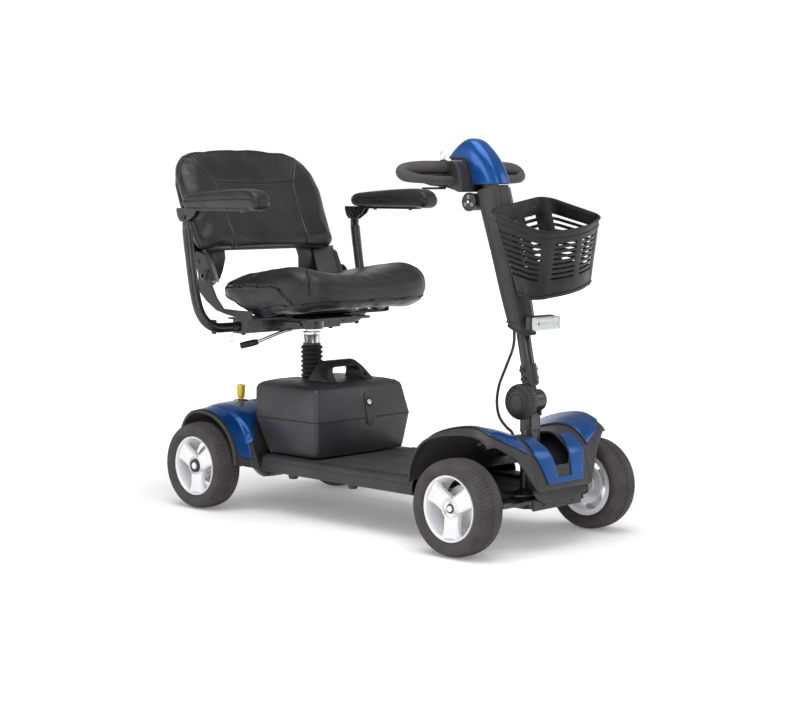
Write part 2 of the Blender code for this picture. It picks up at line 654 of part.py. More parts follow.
def build_knuckles():
    """Kingpin, ears, bridge, stub axle and steering arm of each front wheel, and its tie rod."""
    for label, side in SIDES:
        kingpin = Vector((HALF_BASE, side * KINGPIN_Y, 0.108))
        knuckle = rod(f"steering_knuckle_{label}", (kingpin.x, kingpin.y, 0.077),
                      (kingpin.x, kingpin.y, 0.149), 0.0074)
        y_near, y_far = kingpin.y - side * 0.010, side * 0.1845
        low, high = sorted((y_near, y_far))
        ears = [box("ear", (kingpin.x - 0.011, low, bottom), (kingpin.x + 0.011, high, bottom + 0.008), True)
                for bottom in (0.0775, 0.1407)]
        low, high = sorted((side * 0.1765, side * 0.1855))
        bridge = box("bridge", (kingpin.x - 0.014, low, 0.0775), (kingpin.x + 0.014, high, 0.1487), True)
        stub = rod("stub", (kingpin.x, side * 0.180, TYRE_RADIUS), (kingpin.x, side * 0.2045, TYRE_RADIUS),
                   0.009, True, 16)
        tip = Vector((kingpin.x - ARM_REACH, kingpin.y + side * ARM_OFFSET, 0))
        arm = rod("arm", (kingpin.x - 0.004, kingpin.y, 0.0815), (tip.x, tip.y, 0.0815), 0.0042, True, 12)
        eye = rod("eye", (tip.x, tip.y, 0.0775), (tip.x, tip.y, 0.0855), 0.008, True, 16)
        join(knuckle, *ears, bridge, stub, arm, eye)
        finish(knuckle, "black_steel", kingpin)

        pin = Vector((COLUMN_X - ARM_REACH, side * ARM_OFFSET, 0))
        tie = rod(f"tie_rod_{label}", (pin.x, pin.y + side * 0.003, 0.0905),
                  (tip.x, tip.y - side * 0.003, 0.0905), 0.0038,
                  sides=12)
        ends = [rod("end", (spot.x, spot.y, 0.0863), (spot.x, spot.y, 0.0947), 0.0075, True, 16)
                for spot in (pin, tip)]
        join(tie, *ends)
        finish(tie, "black_steel", (pin.x, pin.y, 0.0905))


def build_stem():
    """The steering stem: shaft in the head tube, steering arm below, neck and tilt fork above."""
    stem = rod("steering_stem", (COLUMN_X, 0, 0.0775), (COLUMN_X, 0, 0.206), 0.0165, sides=16)
    shapes = [rod("collar", (COLUMN_X, 0, 0.2008), (COLUMN_X, 0, 0.258), 0.0215, True, 16),
              box("arm_plate", (COLUMN_X - ARM_REACH - 0.010, -0.021, 0.0775), (COLUMN_X, 0.021, 0.0855),
                  True),
              box("neck", (0.426, -0.0185, 0.2500), (0.460, 0.0185, 0.2960), True, 0.003)]
    for side in (1, -1):
        low, high = sorted((side * 0.0130, side * 0.0185))
        shapes.append(rod("fork_ear", (TILT_HINGE.x, side * 0.0130, TILT_HINGE.z),
                          (TILT_HINGE.x, side * 0.0185, TILT_HINGE.z), FORK_RADIUS, True, 20))
        shapes.append(box("fork_web", (0.432, low, 0.290), (0.462, high, 0.315), True))
    join(stem, *shapes)
    cut(stem, rod("pivot_hole", (TILT_HINGE.x, -0.03, TILT_HINGE.z), (TILT_HINGE.x, 0.03, TILT_HINGE.z),
                  0.0065, True, 16))
    finish(stem, "black_steel", (COLUMN_X, 0, 0.108))


# ---------------------------------------------------------------- tiller
SHROUD_STATIONS = [  # middle x, middle z, half depth, half width, rise per metre towards the front
    (0.4170, 0.4830, 0.0255, 0.0265, -0.40),
    (0.4120, 0.5030, 0.0262, 0.0270, 0.00),
    (0.3925, 0.5750, 0.0285, 0.0290, 0.24),
    (0.3640, 0.6750, 0.0305, 0.0305, 0.24),
    (0.3380, 0.7600, 0.0325, 0.0310, 0.24),
    (0.3265, 0.8010, 0.0330, 0.0300, 0.24),
]


def build_tiller_tube():
    """The tube that stands in the tilt hinge and carries the shroud."""
    up = Vector((-math.sin(TUBE_RAKE), 0, math.cos(TUBE_RAKE)))
    foot = TILT_HINGE + up * 0.032
    top = TILT_HINGE + up * 0.290
    tube = rod("tiller_tube", foot, top, 0.0158, sides=24)
    barrel = rod("barrel", TILT_HINGE - Vector((0, 0.0125, 0)), TILT_HINGE + Vector((0, 0.0125, 0)),
                 FORK_RADIUS, True, 20)
    sleeve = rod("sleeve", TILT_HINGE + up * 0.035, TILT_HINGE + up * 0.082, 0.0195, True, 20)
    neck = rod("neck", TILT_HINGE, TILT_HINGE + up * 0.050, 0.0118, True, 16)
    bolts = []
    for height in (0.050, 0.070):
        spot = TILT_HINGE + up * height
        bolts.append(rod("cross_bolt", spot - Vector((0, 0.0245, 0)), spot + Vector((0, 0.0245, 0)), 0.004,
                         True, 10))
    join(tube, barrel, neck, sleeve, *bolts)
    cut(tube, rod("barrel_bore", TILT_HINGE - Vector((0, 0.03, 0)), TILT_HINGE + Vector((0, 0.03, 0)),
                  0.0065, True, 16))
    finish(tube, "black_steel", TILT_HINGE)


def build_tilt_knob():
    """The ribbed clamp knob of the tilt hinge, with the bolt that passes through the fork."""
    profile = [(0, -0.0215), (0.006, -0.0215), (0.006, 0.0225), (0.012, 0.0225), (0.034, 0.0270),
               (0.0400, 0.0330),
               (0.0405, 0.0500), (0.036, 0.0565), (0.022, 0.0590), (0, 0.0590)]
    outline = [(radius, -height) for radius, height in reversed(profile)]
    knob = turned("tilt_knob", outline, TILT_HINGE, "Y", 20)
    finish(knob, "black_plastic", TILT_HINGE)


def shroud_ring(middle_x, middle_z, half_depth, half_width, rise):
    """One rounded ring of the shroud, tilted fore and aft."""
    ring = []
    for step in range(16):
        angle = 2 * math.pi * (step + 0.5) / 16
        across = math.copysign(abs(math.cos(angle)) ** 0.62, math.cos(angle)) * half_depth
        aside = math.copysign(abs(math.sin(angle)) ** 0.62, math.sin(angle)) * half_width
        ring.append((middle_x + across, aside, middle_z + rise * across))
    return ring


def build_shroud():
    """The hollow tiller shroud with the basket's hook block and the round charging socket."""
    rings = [shroud_ring(*station) for station in SHROUD_STATIONS]
    shroud = thicken(skin("tiller_shroud", rings, cap=False), WALL, -1)
    hook = box("basket_hook", (0.376, -0.020, 0.690), (0.4035, 0.020, 0.722), True, 0.003)
    socket = rod("tiller_socket", (0.2830, 0.012, 0.7700), (0.2830, -0.034, 0.7700), 0.021, True, 16)
    web = box("socket_web", (0.2830, -0.012, 0.756), (0.3080, 0.012, 0.784), True)
    stop = box("tube_stop", (0.3600, -0.0250, 0.6165), (0.3990, 0.0250, 0.6220), True)
    join(shroud, hook, socket, web, stop)
    finish(shroud, "grey_plastic")


def build_cap():
    """The blue cap: a hood that rises from the shroud and sweeps back over the handlebar."""
    stations = [  # inner x, z; outer x, z; half width
        (0.2950, 0.8110, 0.3635, 0.8115, 0.0285), (0.2900, 0.8260, 0.3565, 0.8300, 0.0290),
        (0.2845, 0.8420, 0.3440, 0.8520, 0.0290), (0.2800, 0.8550, 0.3290, 0.8720, 0.0285),
        (0.2740, 0.8665, 0.3090, 0.8915, 0.0280), (0.2600, 0.8690, 0.2890, 0.9075, 0.0270),
        (0.2450, 0.8710, 0.2660, 0.9125, 0.0250), (0.2330, 0.8715, 0.2450, 0.9040, 0.0230),
        (0.2200, 0.8715, 0.2260, 0.8900, 0.0200), (0.2080, 0.8705, 0.2110, 0.8760, 0.0160)]
    rows = []
    for inner_x, inner_z, outer_x, outer_z, half in stations:
        row = []
        for step in range(13):
            angle = math.pi * step / 12
            rise = math.sin(angle) ** 0.55
            aside = math.copysign(abs(math.cos(angle)) ** 0.55, math.cos(angle)) * half
            row.append((inner_x + (outer_x - inner_x) * rise, aside, inner_z + (outer_z - inner_z) * rise))
        rows.append(row)
    cap = skin("tiller_cap", rows, cap=False, closed=False)
    thicken(cap, 0.0025, 1)
    finish(cap, "blue_gloss")


def build_handlebar():
    """Two closed loops with soft grips, joined by the housing between them."""
    side_view = [(0.2780, 0.7925), (0.2640, 0.7985), (0.2400, 0.8035), (0.1900, 0.8075), (0.1590, 0.8150),
                 (0.1575, 0.8200), (0.1600, 0.8300), (0.2020, 0.8635), (0.2680, 0.8635), (0.2760, 0.8540),
                 (0.2830, 0.8350), (0.2890, 0.8140), (0.2890, 0.7925)]
    housing = slab("handlebar", side_view, -0.066, 0.066, "XZ", bevel=0.003, segments=1)
    loops = []
    for _, side in SIDES:
        route = [(0.236, 0.045), (0.238, 0.090), (0.236, 0.140), (0.230, 0.178), (0.2285, 0.1965),
                 (0.240, 0.193),
                 (0.256, 0.162), (0.262, 0.110), (0.256, 0.055)]
        heights = [0.8485, 0.8485, 0.8480, 0.8450, 0.8390, 0.8290, 0.8225, 0.8200, 0.8180]
        points = [(x, side * y, z) for (x, y), z in zip(route, heights)]
        loops.append(pipe("loop", points, 0.0145, True, [1, 1, 1, 1, 1, 0.8, 0.55, 0.55, 0.7], facets=2,
                          steps=2))
    join(housing, *loops)
    finish(housing, "grey_plastic")


def build_controls():
    """Dash panel, key, speed dial, throttle levers and horn button."""
    lean = math.radians(51.4)
    back = Vector((-math.cos(lean), 0, math.sin(lean)))
    up = Vector((math.sin(lean), 0, math.cos(lean)))
    centre = Vector((0.1810, 0, 0.84675)) + back * 0.0022

    def on_dash(y, height, lift):
        return centre + Vector((0, y, 0)) + up * height + back * lift

    panel = box("dash_panel", (-0.0015, -0.058, -0.019), (0.0015, 0.058, 0.019), bevel=0.001)
    panel.data.transform(Matrix.Translation(on_dash(0, 0.0, 0.0)) @ Matrix.Rotation(lean, 4, "Y"))
    well = rod("horn_well", on_dash(0.036, 0.004, -0.004), on_dash(0.036, 0.004, 0.004), 0.0066, True, 24)
    cut(panel, well)
    finish(panel, "black_plastic")

    dial_spot = on_dash(0.0, 0.0, 0.0020)
    dial = rod("speed_dial", dial_spot, dial_spot + back * 0.011, 0.0125, sides=24, end_radius=0.011)
    finish(dial, "grey_plastic", dial_spot)
    horn_spot = on_dash(0.036, 0.004, 0.0020)
    finish(rod("horn_button", horn_spot, horn_spot + back * 0.005, 0.006, sides=16), "yellow_plastic",
           horn_spot)

    key_spot = Vector((0.2190, -0.052, 0.8643))
    key = rod("key", key_spot, key_spot + Vector((0, 0, 0.004)), 0.005, sides=16)
    bow = box("bow", (key_spot.x - 0.0085, key_spot.y - 0.0015, key_spot.z + 0.003),
              (key_spot.x + 0.0085, key_spot.y + 0.0015, key_spot.z + 0.019), True, 0.001)
    join(key, bow)
    finish(key, "chrome", key_spot)

    for label, side in SIDES:
        root = Vector((0.2360, side * 0.0715, 0.8010))
        outline = [(root.x - 0.009, 0.0675), (root.x + 0.009, 0.0675), (root.x + 0.010, 0.110),
                   (root.x + 0.004, 0.134),
                   (root.x - 0.008, 0.134), (root.x - 0.010, 0.100)]
        lever = slab(f"throttle_lever_{label}", [(x, side * y) for x, y in outline], 0.7985, 0.8030, "XY",
                     bevel=0.001)
        finish(lever, "black_plastic", root)


def build_headlight():
    """The lamp on the front of the shroud: a dark housing and a clear lens."""
    housing = box("headlight_housing", (0.4610, -0.0415, 0.4840), (0.4790, 0.0415, 0.5185), bevel=0.004)
    neck = box("lamp_neck", (0.4425, -0.016, 0.492), (0.4650, 0.016, 0.514), True)
    join(housing, neck)
    finish(housing, "black_plastic")
    lens = box("headlight_lens", (0.4795, -0.0425, 0.4860), (0.4980, 0.0425, 0.5165), bevel=0.004)
    finish(lens, "clear_lens")


HARNESS_ROUTE = [(0.4055, -0.0195, 0.5060), (0.4105, -0.0193, 0.4790), (0.4080, -0.0200, 0.4430),
                 (0.3890, -0.0240, 0.3950), (0.3740, -0.0280, 0.3560), (0.3690, -0.0300, 0.3180),
                 (0.3740, -0.0280, 0.2850), (0.3890, -0.0230, 0.2630), (0.4060, -0.0190, 0.2480),
                 (0.4180, -0.0260, 0.2270)]


def build_harness():
    """The wiring lead that leaves the shroud and enters the chassis through the keyhole."""
    finish(pipe("wiring_harness", HARNESS_ROUTE, 0.0034, facets=2, steps=3), "black_rubber", smooth=60)


# ---------------------------------------------------------------- basket
BASKET_ORIGIN = Vector((0.3965, 0.0, 0.7670))
BASKET_TURN = Euler((math.radians(9.0), math.radians(16.0), math.radians(5.0)), "XYZ").to_matrix()
BASKET_DEPTH = 0.186
BASKET_HALF = 0.107


def basket_ring(drop):
    """One ring of the basket wall at a share of its depth, as points in the basket's own frame."""
    rear = 0.097 * drop
    front = BASKET_DEPTH - 0.004 * drop
    rear_half, front_half = BASKET_HALF - 0.012 * drop, BASKET_HALF + 0.002 - 0.009 * drop
    low_rear, low_front = -0.172 * drop, -0.152 * drop
    corner_rear, corner_front, bow = 0.034, 0.034, 0.014
    points = []

    def arc(x, y, radius, start):
        for step in range(4):
            angle = start + math.pi / 2 * step / 3
            points.append((x + radius * math.cos(angle), y + radius * math.sin(angle)))

    def line(first, last, count):
        for step in range(1, count):
            points.append((first[0] + (last[0] - first[0]) * step / count,
                           first[1] + (last[1] - first[1]) * step / count))

    edge = front - bow
    arc(rear + corner_rear, -rear_half + corner_rear, corner_rear, math.pi)
    line(points[-1], (edge - corner_front, -front_half), 2)
    arc(edge - corner_front, -front_half + corner_front, corner_front, 1.5 * math.pi)
    for step in range(1, 6):
        share = -1 + step / 3
        points.append((edge + bow * (1 - share * share), share * (front_half - corner_front)))
    arc(edge - corner_front, front_half - corner_front, corner_front, 0)
    line((edge - corner_front, front_half), (rear + corner_rear, rear_half), 2)
    arc(rear + corner_rear, rear_half - corner_rear, corner_rear, math.pi / 2)
    line(points[-1], points[0], 2)
    ring = []
    for x, y in points:
        share = (x - rear) / (front - rear)
        ring.append(Vector((x, y, low_rear + (low_front - low_rear) * share)))
    return ring


def build_basket():
    """The basket: a tapered tub with rows of slots in its front and side walls."""
    drops = [0, 0.03]
    rows_of_slots = 7
    for row in range(rows_of_slots):
        start = 0.20 + row * 0.088
        drops += [start, start + 0.040]
    drops += [0.93, 1.0]
    rings = [basket_ring(drop) for drop in drops]
    count = len(rings[0])
    slotted = slot_columns(rings[0])
    bm = bmesh.new()
    place = Matrix.Translation(BASKET_ORIGIN) @ BASKET_TURN.to_4x4()
    grid = [[bm.verts.new(place @ point) for point in ring] for ring in rings]
    for level, (first, second) in enumerate(zip(grid, grid[1:])):
        in_slot = level >= 2 and level % 2 == 0 and level < 2 + 2 * rows_of_slots
        for index in range(count):
            if in_slot and index in slotted:
                continue
            after = (index + 1) % count
            bm.faces.new((first[index], second[index], second[after], first[after]))
    bm.faces.new(list(reversed(grid[-1])))
    bmesh.ops.recalc_face_normals(bm, faces=bm.faces)
    mesh = bpy.data.meshes.new("basket")
    bm.to_mesh(mesh)
    bm.free()
    basket = adopt(bpy.data.objects.new("basket", mesh))
    thicken(basket, 0.003, -1)
    finish(basket, "black_plastic", BASKET_ORIGIN)


def slot_columns(ring):
    """The wall columns that carry slots: the straight side walls and two fields of the front."""
    chosen = set()
    for index, point in enumerate(ring):
        after = ring[(index + 1) % len(ring)]
        middle = (point + after) / 2
        on_side = abs(middle.y) > BASKET_HALF - 0.004 and 0.035 < middle.x < BASKET_DEPTH - 0.050
        on_front = middle.x > BASKET_DEPTH - 0.012 and 0.012 < abs(middle.y) < 0.080
        if on_side or on_front:
            chosen.add(index)
    return chosen


# ---------------------------------------------------------------- seat
def build_post():
    """The chrome seat post that slides in its socket, with the swivel spigot on top."""
    profile = [(POST_RADIUS, 0.440), (POST_RADIUS, 0.150), (0.0165, 0.150), (0.0165, 0.420), (0.0080, 0.425),
               (0.0080, 0.462), (0.0160, 0.462), (0.0160, 0.446)]
    post = turned("seat_post", list(reversed(profile)), (POST_X, 0, 0), "Z", 20)
    finish(post, "chrome", (POST_X, 0, 0.35))


def build_seat_bracket():
    """The swivel head, its plate and the cross tube that takes both arm tubes."""
    head = rod("seat_bracket", (POST_X, 0, 0.4465), (POST_X, 0, 0.480), 0.030, sides=24)
    plate = box("plate", (-0.392, -0.105, 0.4735), (-0.180, 0.105, 0.480), True)
    tube = box("cross_tube", (CROSS_TUBE.x - 0.017, -0.170, CROSS_TUBE.z - 0.017),
               (CROSS_TUBE.x + 0.017, 0.170, CROSS_TUBE.z + 0.019), True)
    neck = box("neck", (-0.375, -0.020, 0.4600), (-0.290, 0.020, 0.4760), True)
    join(head, plate, tube, neck)
    bores = [rod("spigot_bore", (POST_X, 0, 0.40), (POST_X, 0, 0.4640), 0.0166, True, 24),
             rod("tube_bore", (CROSS_TUBE.x, -0.2, CROSS_TUBE.z), (CROSS_TUBE.x, 0.2, CROSS_TUBE.z),
                 ARM_TUBE_RADIUS + GAP, True, 20)]
    cut(head, *bores)
    finish(head, "black_steel", (POST_X, 0, 0.460))


CUSHION_MIDDLE, CUSHION_REACH, CUSHION_HALF = -0.2425, 0.1975, 0.2270
CUSHION_TOP = [(-0.440, 0.566), (-0.392, 0.577), (-0.313, 0.591), (-0.227, 0.603), (-0.144, 0.612),
               (-0.090, 0.607), (-0.045, 0.596)]         # x and height of the side bolsters
CUSHION_SKIRT = [(-0.440, 0.534), (-0.392, 0.545), (-0.352, 0.524), (-0.317, 0.505), (-0.271, 0.488),
                 (-0.243, 0.4855), (-0.176, 0.497), (-0.094, 0.506), (-0.045, 0.516)]   # lower edge
CUSHION_SEAT = 0.5065       # the flat underside, on the pan
WING = [(-0.243, 0.4826), (-0.300, 0.4865), (-0.340, 0.4920), (-0.3756, 0.5000), (-0.4137, 0.5215),
        (-0.4373, 0.5414), (-0.4444, 0.5622), (-0.4439, 0.5889), (-0.4350, 0.5965), (-0.4160, 0.5975),
        (-0.4020, 0.5900), (-0.3923, 0.5603), (-0.3751, 0.5307), (-0.3491, 0.5054), (-0.300, 0.5035),
        (-0.243, 0.5035)]


def along_line(line, x):
    """Height of a line through (x, z) points, with straight stretches between them."""
    for (first_x, first_z), (next_x, next_z) in zip(line, line[1:]):
        if x <= next_x:
            share = max(0.0, (x - first_x) / (next_x - first_x))
            return first_z + (next_z - first_z) * share
    return line[-1][1]


def cushion_outline(angle):
    """The cushion's plan outline: wide at the front, narrower between the backrest's legs."""
    x, y = math.cos(angle), math.sin(angle)
    power = 5.5
    reach = (abs(x) ** power + abs(y) ** power) ** (-1 / power)
    along, aside = x * reach, y * reach
    half = CUSHION_HALF - 0.020 * max(0.0, -along) ** 1.5
    return CUSHION_MIDDLE + CUSHION_REACH * along, half * aside


def build_cushion():
    """A dished cushion with side bolsters, a rolled front edge and a skirt that rises at the back."""
    steps = 36
    outline = [cushion_outline(2 * math.pi * step / steps) for step in range(steps)]

    def scaled(share):
        return [(CUSHION_MIDDLE + (x - CUSHION_MIDDLE) * share, y * share) for x, y in outline]

    def top_height(x, y, share):
        front = max(0.0, (x - CUSHION_MIDDLE) / CUSHION_REACH)
        dish = 0.022 * (1 - min(1.0, abs(y) / 0.19) ** 2) * (1 - 0.5 * front ** 4)
        edge = 0.030 * max(0.0, (share - 0.90) / 0.10) ** 1.6 + 0.010 * front ** 6
        return along_line(CUSHION_TOP, x) - dish - edge

    rows = []
    for share in (0.30, 0.58, 0.80, 0.93, 1.0):
        rows.append([(x, y, top_height(x, y, share)) for x, y in scaled(share)])
    for down, swell in ((0.36, 1.010), (0.72, 1.004)):
        row = []
        for (x, y), (edge_x, edge_y) in zip(scaled(swell), outline):
            high = top_height(edge_x, edge_y, 1.0)
            row.append((x, y, high + (along_line(CUSHION_SKIRT, edge_x) - high) * down))
        rows.append(row)
    rows.append([(x, y, along_line(CUSHION_SKIRT, x)) for x, y in scaled(0.985)])
    for share in (0.945, 0.80):
        rows.append([(x, y, max(CUSHION_SEAT, along_line(CUSHION_SKIRT, x))) for x, y in scaled(share)])
    finish(skin("seat_cushion", rows), "vinyl", smooth=60)


def build_pan():
    """The plastic seat pan, with a wing up each side that carries the backrest's hinge bolt."""
    middle, half_length, half_width, corner = -0.3175, 0.0825, 0.1300, 0.030
    rows = []
    for inset, height in ((0.018, 0.4815), (0.004, 0.4870), (0.000, 0.5040)):
        rows.append([(middle + x, y, height) for x, y in
                     rounded_rectangle(half_length - inset, half_width - inset, corner, 4)])
    pan = skin("seat_pan", rows)
    shapes = []
    for _, side in SIDES:
        low, high = sorted((side * 0.2320, side * 0.2365))
        shapes.append(slab("wing", WING, low, high, "XZ", True))
        low, high = sorted((side * 0.1000, side * 0.2330))
        shapes.append(box("wing_foot", (-0.3340, low, 0.4805), (-0.2460, high, 0.4848), True))
    join(pan, *shapes)
    finish(pan, "black_plastic")


def back_frame(y, along, forward):
    """A point given in the backrest's own plane: across, up the plane from the hinge line, and forward."""
    up = Vector((-math.sin(BACK_RAKE), 0, math.cos(BACK_RAKE)))
    out = Vector((math.cos(BACK_RAKE), 0, math.sin(BACK_RAKE)))
    return BACK_PIVOT + Vector((0, y, 0)) + up * along + out * forward


def back_outline(half, low, shoulder, top, crown, steps=5):
    """Half outline of the back, from the bottom middle to the top middle, as (y, along)."""
    points = [(0, low), (half * 0.5, low), (half - 0.020, low + 0.002), (half - 0.004, low + 0.016),
              (half, low + 0.060),
              (half + 0.001, shoulder - 0.05)]
    for step in range(1, steps + 1):
        angle = math.pi / 2 * step / steps
        points.append((half - crown * (1 - math.cos(angle)),
                       shoulder - 0.03 + (top - 0.008 - shoulder + 0.03) * math.sin(angle)))
    return points + [(max(0.04, (half - crown) * 0.5), top - 0.002), (0, top)]


def full_outline(half_points):
    return half_points + [(-y, along) for y, along in reversed(half_points[1:-1])]


def back_bend(along, forward):
    """The top of the back leans further rearwards, and its middle is hollowed a little."""
    lean = 0.55 * max(0.0, along - 0.235) ** 1.25
    hollow = 0.010 * math.sin(math.pi * min(1.0, max(0.0, (along - 0.07) / 0.28)))
    return forward - lean - hollow


SHELL_FRONT, SHELL_REAR = -0.0250, -0.0315
LEG_ROWS = [(0.120, 0.1130, 0.2150), (0.085, 0.1230, 0.2230), (0.055, 0.1270, 0.2260),  # along, inner, outer
            (0.030, 0.1310, 0.2260), (0.010, 0.1380, 0.2260), (-0.004, 0.1560, 0.2200)]


def leg_ring(side, along, inner, outer, steps=4):
    """A section of one leg of the shell, which flares rearwards towards its lower inner corner."""
    front, rear = [], []
    for step in range(steps + 1):
        y = inner + (outer - inner) * step / steps
        flare = 0.60 * max(0.0, 0.062 - along) * min(1.0, max(0.0, (0.218 - y) / 0.060))
        front.append(back_frame(side * y, along, back_bend(along, SHELL_FRONT) - flare))
        rear.append(back_frame(side * y, along, back_bend(along, SHELL_REAR) - flare))
    return front + rear[::-1]


def build_back():
    """The hard back shell with its two legs, and the padded front that it carries."""
    outline = full_outline(back_outline(0.2376, 0.0640, 0.275, 0.3585, 0.105))
    middle = Vector((0, 0.21))
    rows = []
    for share, forward in ((0.35, 0.022), (0.70, 0.026), (0.90, 0.026), (0.98, 0.018), (1.0, 0.006),
                           (0.995, -0.006),
                           (0.970, -0.0160), (0.92, -0.0200), (0.5, -0.0200)):
        row = []
        for y, along in outline:
            spot = middle + (Vector((y, along)) - middle) * share
            dish = 0.016 * (1 - min(1.0, abs(spot.x) / 0.2) ** 2) if forward > 0.02 else 0.0
            row.append(back_frame(spot.x, spot.y, back_bend(spot.y, forward - dish)))
        rows.append(row)
    finish(skin("back_pad", rows), "vinyl", BACK_PIVOT, 60)

    outline = full_outline(back_outline(0.2170, 0.0760, 0.262, 0.3360, 0.095))
    rows = []
    for share, forward in ((0.5, SHELL_FRONT), (0.9, SHELL_FRONT), (1.0, SHELL_FRONT), (1.0, SHELL_REAR),
                           (0.9, SHELL_REAR), (0.5, SHELL_REAR)):
        spots = [middle + (Vector(spot) - middle) * share for spot in outline]
        rows.append([back_frame(y, along, back_bend(along, forward)) for y, along in spots])
    shell = skin("back_shell", rows)
    shapes = []
    for _, side in SIDES:
        cheek = [(-0.018, -0.016), (-0.018, 0.014), (0.050, 0.010), (0.0700, -0.012), (0.0700, SHELL_REAR),
                 (0.000, SHELL_REAR)]
        low, high = sorted((side * 0.2150, side * 0.2270))
        shapes.append(cheek_block("cheek", cheek, low, high))
        shapes.append(skin("leg", [leg_ring(side, *row) for row in LEG_ROWS], tool=True))
    join(shell, *shapes)
    finish(shell, "black_plastic", BACK_PIVOT)


def cheek_block(name, outline, low, high):
    """A block between two y levels whose outline lies in the backrest's side plane."""
    rows = [[back_frame(y, along, forward) for along, forward in outline] for y in (low, high)]
    return skin(name, rows, tool=True)


def build_arms():
    """Bent arm tubes, flip-up brackets and arm pads, one set each side."""
    for label, side in SIDES:
        route = [(CROSS_TUBE.x, 0.020, CROSS_TUBE.z), (CROSS_TUBE.x, 0.110, CROSS_TUBE.z),
                 (CROSS_TUBE.x, 0.200, CROSS_TUBE.z), (-0.3745, 0.240, 0.4580), (-0.3770, 0.268, 0.4730),
                 (-0.3830, 0.2835, 0.5000), (-0.3930, 0.2868, 0.5350), (-0.4040, ARM_Y, 0.5850),
                 (-0.4150, ARM_Y, 0.6500), (-0.4225, ARM_Y, 0.6990)]
        tube = pipe(f"arm_tube_{label}", [(x, side * y, z) for x, y, z in route], ARM_TUBE_RADIUS, facets=2,
                    steps=2)
        ear = rod("ear", (ARM_PIVOT_X, side * ARM_Y - 0.005, ARM_PIVOT_Z),
                  (ARM_PIVOT_X, side * ARM_Y + 0.005, ARM_PIVOT_Z), 0.0130,
                  True, 16)
        web = box("web", (ARM_PIVOT_X - 0.0115, side * ARM_Y - 0.005, 0.690),
                  (ARM_PIVOT_X + 0.0115, side * ARM_Y + 0.005, ARM_PIVOT_Z), True)
        join(tube, ear, web)
        finish(tube, "black_steel", (CROSS_TUBE.x, side * 0.02, CROSS_TUBE.z))

        cheeks = []
        for shift in (-1, 1):
            low, high = sorted((side * ARM_Y + shift * 0.0056, side * ARM_Y + shift * 0.0100))
            cheeks.append(slab("cheek", [(-0.4520, 0.744), (-0.4470, 0.7290), (-0.4380, 0.7190),
                                         (-0.4120, 0.7180), (-0.3850, 0.7340),
                                         (-0.3720, 0.7515), (-0.4520, 0.7515)], low, high, "XZ", True))
        bracket = box(f"arm_bracket_{label}", (-0.4520, side * ARM_Y - 0.0100, 0.7460),
                      (-0.1850, side * ARM_Y + 0.0100, 0.7520))
        join(bracket, *cheeks)
        finish(bracket, "black_steel", (ARM_PIVOT_X, side * ARM_Y, ARM_PIVOT_Z))

        side_view = [(-0.4180, 0.7525), (-0.1800, 0.7525), (-0.1580, 0.7490), (-0.1420, 0.7480),
                     (-0.1340, 0.7580),
                     (-0.1360, 0.7790), (-0.1500, 0.7940), (-0.1800, 0.7990), (-0.2600, 0.7965), (-0.4080,
                                                                                                  0.7870),
                     (-0.4190, 0.7780)]
        pad = slab(f"arm_pad_{label}", side_view, side * ARM_Y - 0.0260, side * ARM_Y + 0.0260, "XZ",
                   bevel=0.006)
        finish(pad, "vinyl", (ARM_PIVOT_X, side * ARM_Y, ARM_PIVOT_Z))


def build_swivel_lever():
    """The swivel release: a bright rod with a black grip, under the right side of the seat."""
    root = (-0.322, -0.034, 0.4440)
    route = [root, (-0.330, -0.055, 0.4400), (-0.345, -0.085, 0.4280), (-0.362, -0.115, 0.4150),
             (-0.384, -0.152, 0.4060)]
    lever = pipe("swivel_lever", route, 0.0085, radii=[0.5, 0.5, 0.5, 1.0, 0.9], facets=2, steps=3)
    finish(lever, "black_rubber", root, 60)


build_main_frame()
build_deck()
build_front()
build_bumper()
build_rear()
build_transaxle()
build_bellows()
build_battery()
build_wheels()
build_knuckles()
build_stem()
build_tiller_tube()
build_tilt_knob()
build_shroud()
build_cap()
build_handlebar()
build_controls()
build_headlight()
build_harness()
build_basket()
build_post()
build_seat_bracket()
build_cushion()
build_pan()
build_back()
build_arms()
build_swivel_lever()
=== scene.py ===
"""The looks of the four-wheel travel scooter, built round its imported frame.

+X points forward, +Y to the rider's left, +Z up, in metres.  Each section makes the fine pieces that
stand for one group of CAD nodes; DX carries a length given from midway between the axles into the
frame, whose origin is the middle of the bounding box.
"""

import json
import math

import bmesh
import bpy
from mathutils import Euler, Matrix, Vector, noise
from mathutils.bvhtree import BVHTree
from mathutils.kdtree import KDTree


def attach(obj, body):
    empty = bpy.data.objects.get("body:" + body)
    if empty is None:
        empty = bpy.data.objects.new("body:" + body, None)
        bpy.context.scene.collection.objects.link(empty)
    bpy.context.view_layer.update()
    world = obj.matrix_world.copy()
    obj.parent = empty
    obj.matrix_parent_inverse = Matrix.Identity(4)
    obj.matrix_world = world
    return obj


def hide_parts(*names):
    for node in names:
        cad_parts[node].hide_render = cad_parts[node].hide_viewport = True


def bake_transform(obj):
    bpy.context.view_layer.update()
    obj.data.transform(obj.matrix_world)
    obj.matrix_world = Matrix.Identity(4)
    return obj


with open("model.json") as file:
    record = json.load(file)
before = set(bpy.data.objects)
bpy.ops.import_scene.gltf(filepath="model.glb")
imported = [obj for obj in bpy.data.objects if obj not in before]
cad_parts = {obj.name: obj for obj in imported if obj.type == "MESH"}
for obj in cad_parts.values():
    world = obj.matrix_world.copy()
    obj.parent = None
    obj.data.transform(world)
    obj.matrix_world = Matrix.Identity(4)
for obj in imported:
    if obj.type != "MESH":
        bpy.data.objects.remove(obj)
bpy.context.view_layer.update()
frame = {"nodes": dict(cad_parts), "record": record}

DX = 0.01525
SIDES = (("left", 1), ("right", -1))
